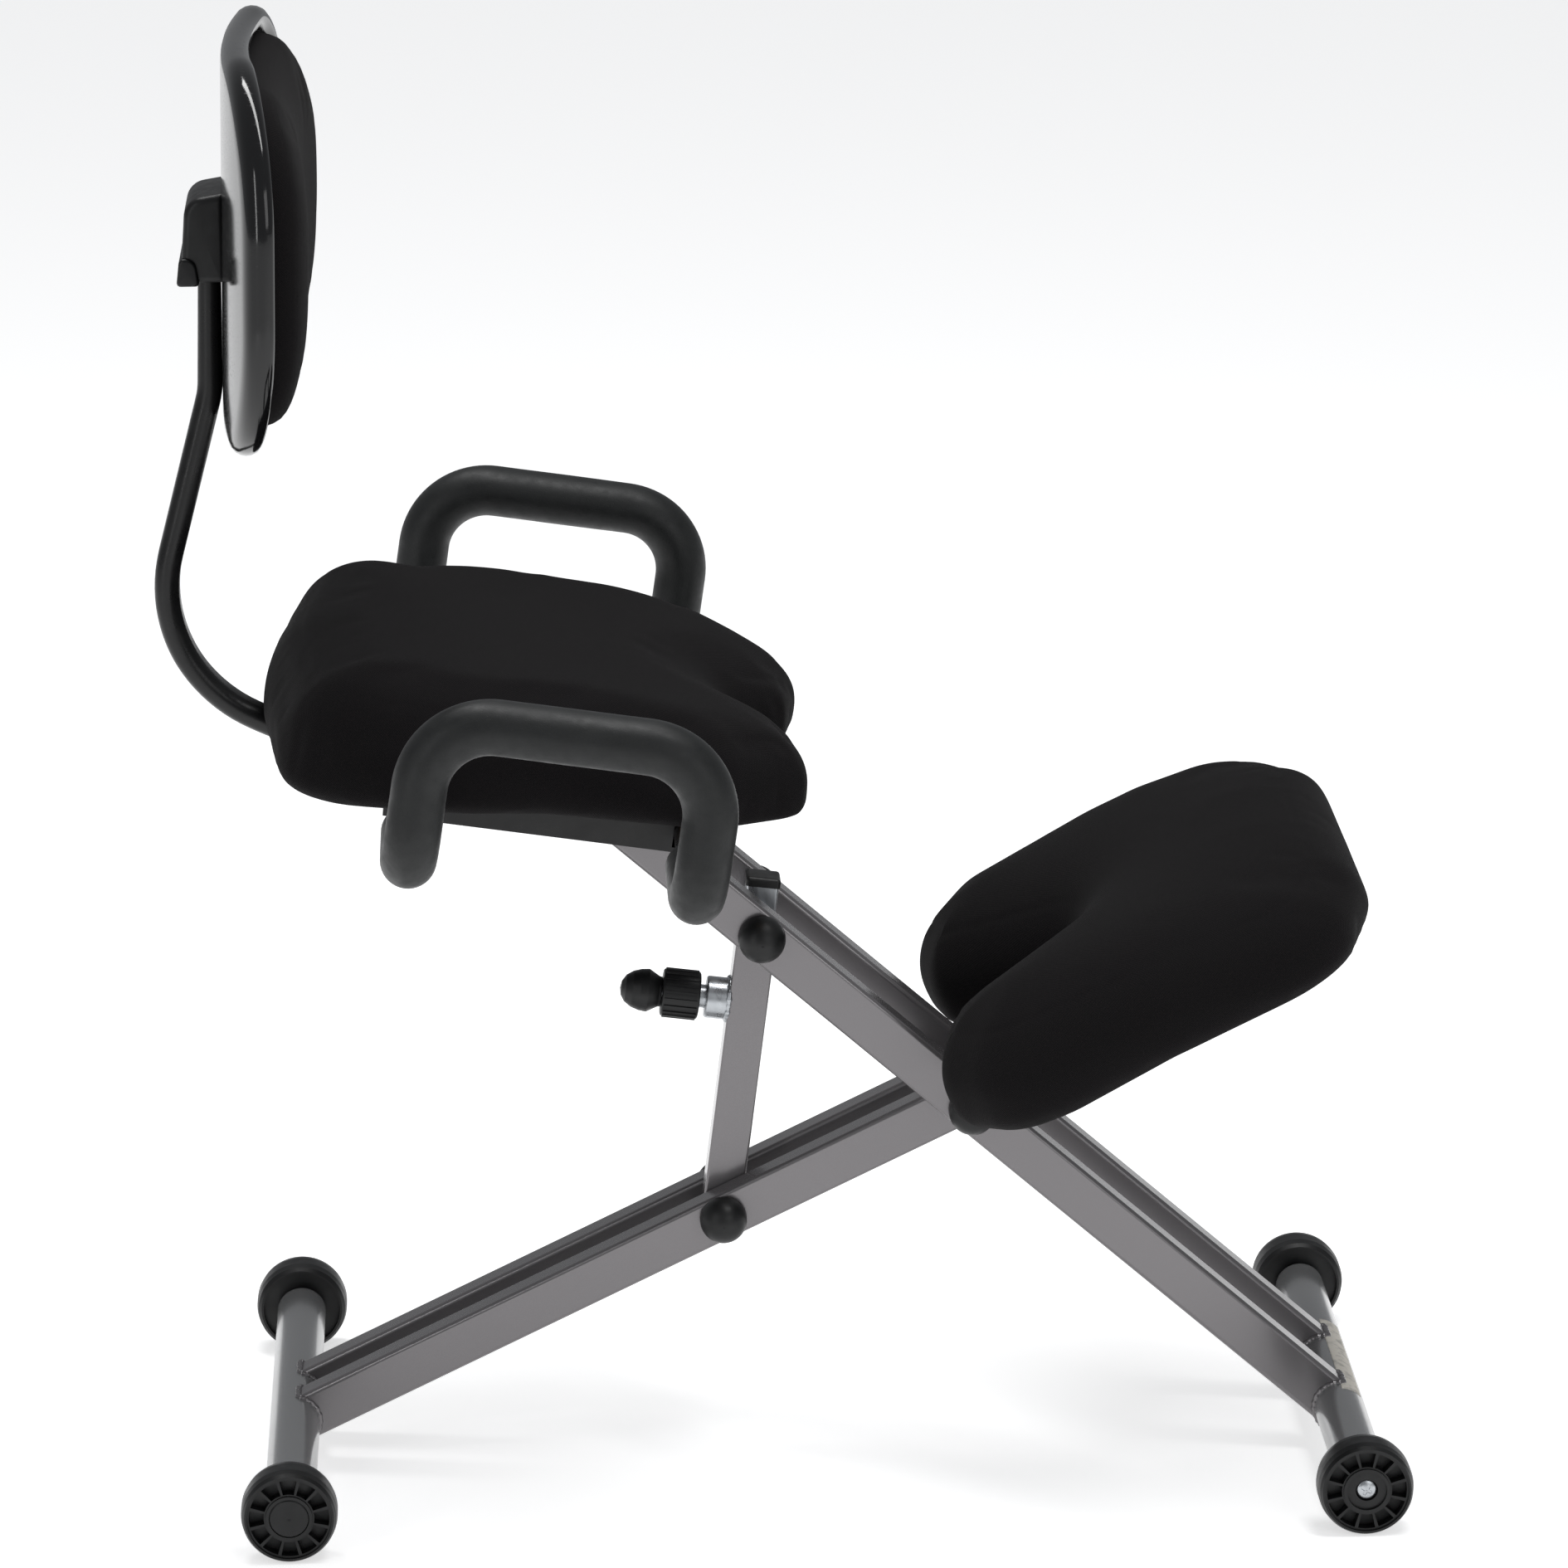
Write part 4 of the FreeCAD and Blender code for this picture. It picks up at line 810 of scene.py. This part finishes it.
def weld_bead(name, line, matrix, body, slot_name="frame_paint", radius=0.0021):
    """A rippled weld bead along a closed line."""
    line = [Vector(p) for p in line]
    line = fill_runs(line + [line[0]], 0.0011)

    def radius_at(share, i):
        ripple = 0.14 * math.sin(i * 1.35)
        return radius * (1 + ripple + 0.25 * noise.noise(line[i] * 160))

    loops = pipe(line, radius_at, 10)
    places, faces = loft(loops)
    return make_piece(name, places, faces, matrix, body, slot_name)


def beam_edge(low_y, high_y, half_depth, corner=0.003):
    """The outline of a beam's section, its corners cut."""
    c = corner * 0.5
    return [(low_y + c, -half_depth), (high_y - c, -half_depth), (high_y, -half_depth + c),
            (high_y, half_depth - c), (high_y - c, half_depth), (low_y + c, half_depth),
            (low_y, half_depth - c), (low_y, -half_depth + c)]


def reach_bar(start, heading, axle, radius):
    """Where a line in the XZ plane, coming down a beam, meets the round foot bar."""
    across = axle - start
    along = across.dot(heading)
    miss = (across - heading * along).length
    return start + heading * (along - math.sqrt(max(radius ** 2 - miss ** 2, 0.0)))


def beam_welds():
    """Beads where the beams meet the foot bars, and where the seat beams meet the tray."""
    knee_back = -knee_forward
    upper = local_box("upper_pivot_bolt", Matrix.Identity(4))
    pivot = (upper[0] + upper[1]) / 2
    seat_beam_forward = (point_of("frame_fold") - pivot).normalized()
    for kind, body, start, heading, end in (
            ("knee", "knee_leg", point_of("frame_fold"), knee_back, "rear"),
            ("seat", "seat_leg", point_of("frame_fold"), seat_beam_forward, "front")):
        axle = point_of(end + "_left_wheel_spin")
        radius = (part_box(end + "_foot_bar")[1].z - axle.z)
        upward = Vector((-heading.z, 0, heading.x))
        if upward.z < 0:
            upward = -upward
        for side in ("left", "right"):
            low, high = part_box(kind + "_beam_" + side)
            section = beam_edge(low.y, high.y, 0.015)
            flat = [(y, reach_bar(start + upward * z, heading, axle, radius)) for y, z in dense(section)]
            line = [(p.x, y, p.z) for y, p in flat]
            weld_bead("weld_%s_bar_%s" % (end, side), line, Matrix.Identity(4), body)
            if kind == "seat":
                top = []
                for y, z in dense(section):
                    p = start + upward * z
                    rise = (tray_underside - p).dot(seat_up) / (-heading).dot(seat_up)
                    q = p - heading * rise
                    top.append((q.x, y, q.z))
                weld_bead("weld_tray_" + side, top, Matrix.Identity(4), body)


def dense(section, step=0.002):
    """The same closed section with points added along its sides."""
    points = []
    for (y0, z0), (y1, z1) in zip(section, section[1:] + section[:1]):
        count = max(1, math.ceil(math.hypot(y1 - y0, z1 - z0) / step))
        points += [(y0 + (y1 - y0) * i / count, z0 + (z1 - z0) * i / count) for i in range(count)]
    return points


def boss_weld():
    """The bead between the pull pin's boss and the strut."""
    low, high = local_box("pin_boss", PIN)
    radius = high.y
    half = local_box("strut_outer_tube", STRUT)[1].y
    line = [(radius * math.cos(t), max(-half, min(half, radius * math.sin(t))), low.z)
            for t in (2 * math.pi * k / 90 for k in range(90))]
    weld_bead("weld_boss", line, PIN, "strut_outer", "zinc", 0.0017)


def screw_head():
    """The cross-slotted pan head that shows where a hub cap is missing."""
    low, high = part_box("front_axle_screws")
    axle = point_of("front_right_wheel_spin")
    radius, crown = 0.0066, 0.0028
    rings, spokes = 26, 72
    loops = []
    for ring in range(rings + 1):
        r = radius * (1 - ring / rings) + 0.00005
        loop = []
        for k in range(spokes):
            t = 2 * math.pi * (k + 0.5) / spokes
            x, z = r * math.cos(t), r * math.sin(t)
            height = crown * math.sqrt(max(1 - (r / radius) ** 2 * 0.92, 0))
            arm = min(abs(x), abs(z))
            slot_depth = 0.0022 * max(0, 1 - (arm / 0.0009) ** 4) * max(0, 1 - (r / 0.0036) ** 6)
            loop.append((x, -(height - slot_depth), z))
        loops.append(loop)
    loops.insert(0, [(x, 0.002, z) for x, _, z in loops[0]])
    places, faces = loft(loops)
    place = Matrix.Translation(Vector((axle.x, low.y + crown - 0.0004, axle.z)))
    matrix = place @ Matrix.Rotation(0.5, 4, "Y")
    return make_piece("front_right_screw_head", places, faces, matrix, "seat_leg", "zinc")


def label():
    """A worn blank label wrapped over the upper front of the front foot bar."""
    low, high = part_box("front_foot_bar")
    radius = (high.z - low.z) / 2
    centre = Vector(((low.x + high.x) / 2, 0, (low.z + high.z) / 2))
    start, end = -0.064, 0.066
    loops = []
    for row in range(41):
        y = start + (end - start) * row / 40
        ragged = 1.6 * noise.noise(Vector((row * 0.55, 3, 0)))
        angles = [math.radians(a) for a in np.linspace(38 + ragged, 88 + 0.6 * ragged, 13)]
        outside, inside = radius + 0.00022, radius - 0.0002
        outer = [(math.cos(a) * outside, y, math.sin(a) * outside) for a in angles]
        inner = [(math.cos(a) * inside, y, math.sin(a) * inside) for a in reversed(angles)]
        loops.append(outer + inner)
    places, faces = loft(loops)
    piece = make_piece("foot_bar_label", places, faces, Matrix.Translation(centre), "seat_leg", "bar_paint")
    piece.data.materials[0] = paper("worn_label")


beam_welds()
boss_weld()
screw_head()
label()


# ---------------------------------------------------------------- floor, lights and camera

def stage_floor():
    mesh = bpy.data.meshes.new("floor")
    half = 6.0
    corners = [(-half, -half, 0), (half, -half, 0), (half, half, 0), (-half, half, 0)]
    mesh.from_pydata(corners, [], [(0, 1, 2, 3)])
    floor = bpy.data.objects.new("floor", mesh)
    scene.collection.objects.link(floor)
    paint = Paint("pale_floor", (0.9, 0.9, 0.9), 0.7, specular=0.2)
    paint.set("Emission Color", (1, 1, 1, 1))
    paint.set("Emission Strength", 0.58)
    mesh.materials.append(paint.material)


def area_light(name, place, target, size, power):
    data = bpy.data.lights.new(name, "AREA")
    data.shape = "RECTANGLE"
    data.size, data.size_y = size
    data.energy = power
    light = bpy.data.objects.new(name, data)
    light.location = place
    light.rotation_euler = (Vector(target) - Vector(place)).to_track_quat("-Z", "Y").to_euler()
    scene.collection.objects.link(light)


def studio():
    scene.view_settings.view_transform = "Standard"
    world = bpy.data.worlds.new("studio")
    world.use_nodes = True
    scene.world = world
    tree = world.node_tree
    soft = tree.nodes["Background"]
    soft.inputs["Color"].default_value = (0.95, 0.97, 1, 1)
    soft.inputs["Strength"].default_value = 0.3
    backdrop = tree.nodes.new("ShaderNodeBackground")
    backdrop.inputs["Color"].default_value = (1, 1, 1, 1)
    choose = tree.nodes.new("ShaderNodeMixShader")
    path = tree.nodes.new("ShaderNodeLightPath")
    tree.links.new(path.outputs["Is Camera Ray"], choose.inputs["Fac"])
    tree.links.new(soft.outputs[0], choose.inputs[1])
    tree.links.new(backdrop.outputs[0], choose.inputs[2])
    tree.links.new(choose.outputs[0], tree.nodes["World Output"].inputs["Surface"])
    area_light("overhead", (0.1, 0.1, 3.1), (0, 0, 0.4), (3.4, 0.5), 66)
    area_light("side_strip", (-2.2, -2.3, 1.5), (-0.2, 0, 0.6), (0.35, 2.2), 14)
    area_light("front_fill", (1.6, -2.9, 1.6), (0, 0, 0.4), (1.6, 1.6), 16)


def camera():
    data = bpy.data.cameras.new("camera")
    data.sensor_width = 36.0
    data.lens = 166.58
    eye = bpy.data.objects.new("camera", data)
    scene.collection.objects.link(eye)
    rise, side, roll = math.radians(15.71), math.radians(2.29), math.radians(-0.63)
    ahead = Vector((math.sin(side) * math.cos(rise), math.cos(side) * math.cos(rise), -math.sin(rise)))
    right = ahead.cross(Vector((0, 0, 1))).normalized()
    up = right.cross(ahead)
    turned_right = right * math.cos(roll) + up * math.sin(roll)
    turned_up = up * math.cos(roll) - right * math.sin(roll)
    matrix = Matrix((turned_right, turned_up, -ahead)).transposed().to_4x4()
    matrix.translation = Vector((0.0052, 0, 0.4387)) - ahead * 4.595
    eye.matrix_world = matrix
    scene.camera = eye


stage_floor()
studio()
camera()
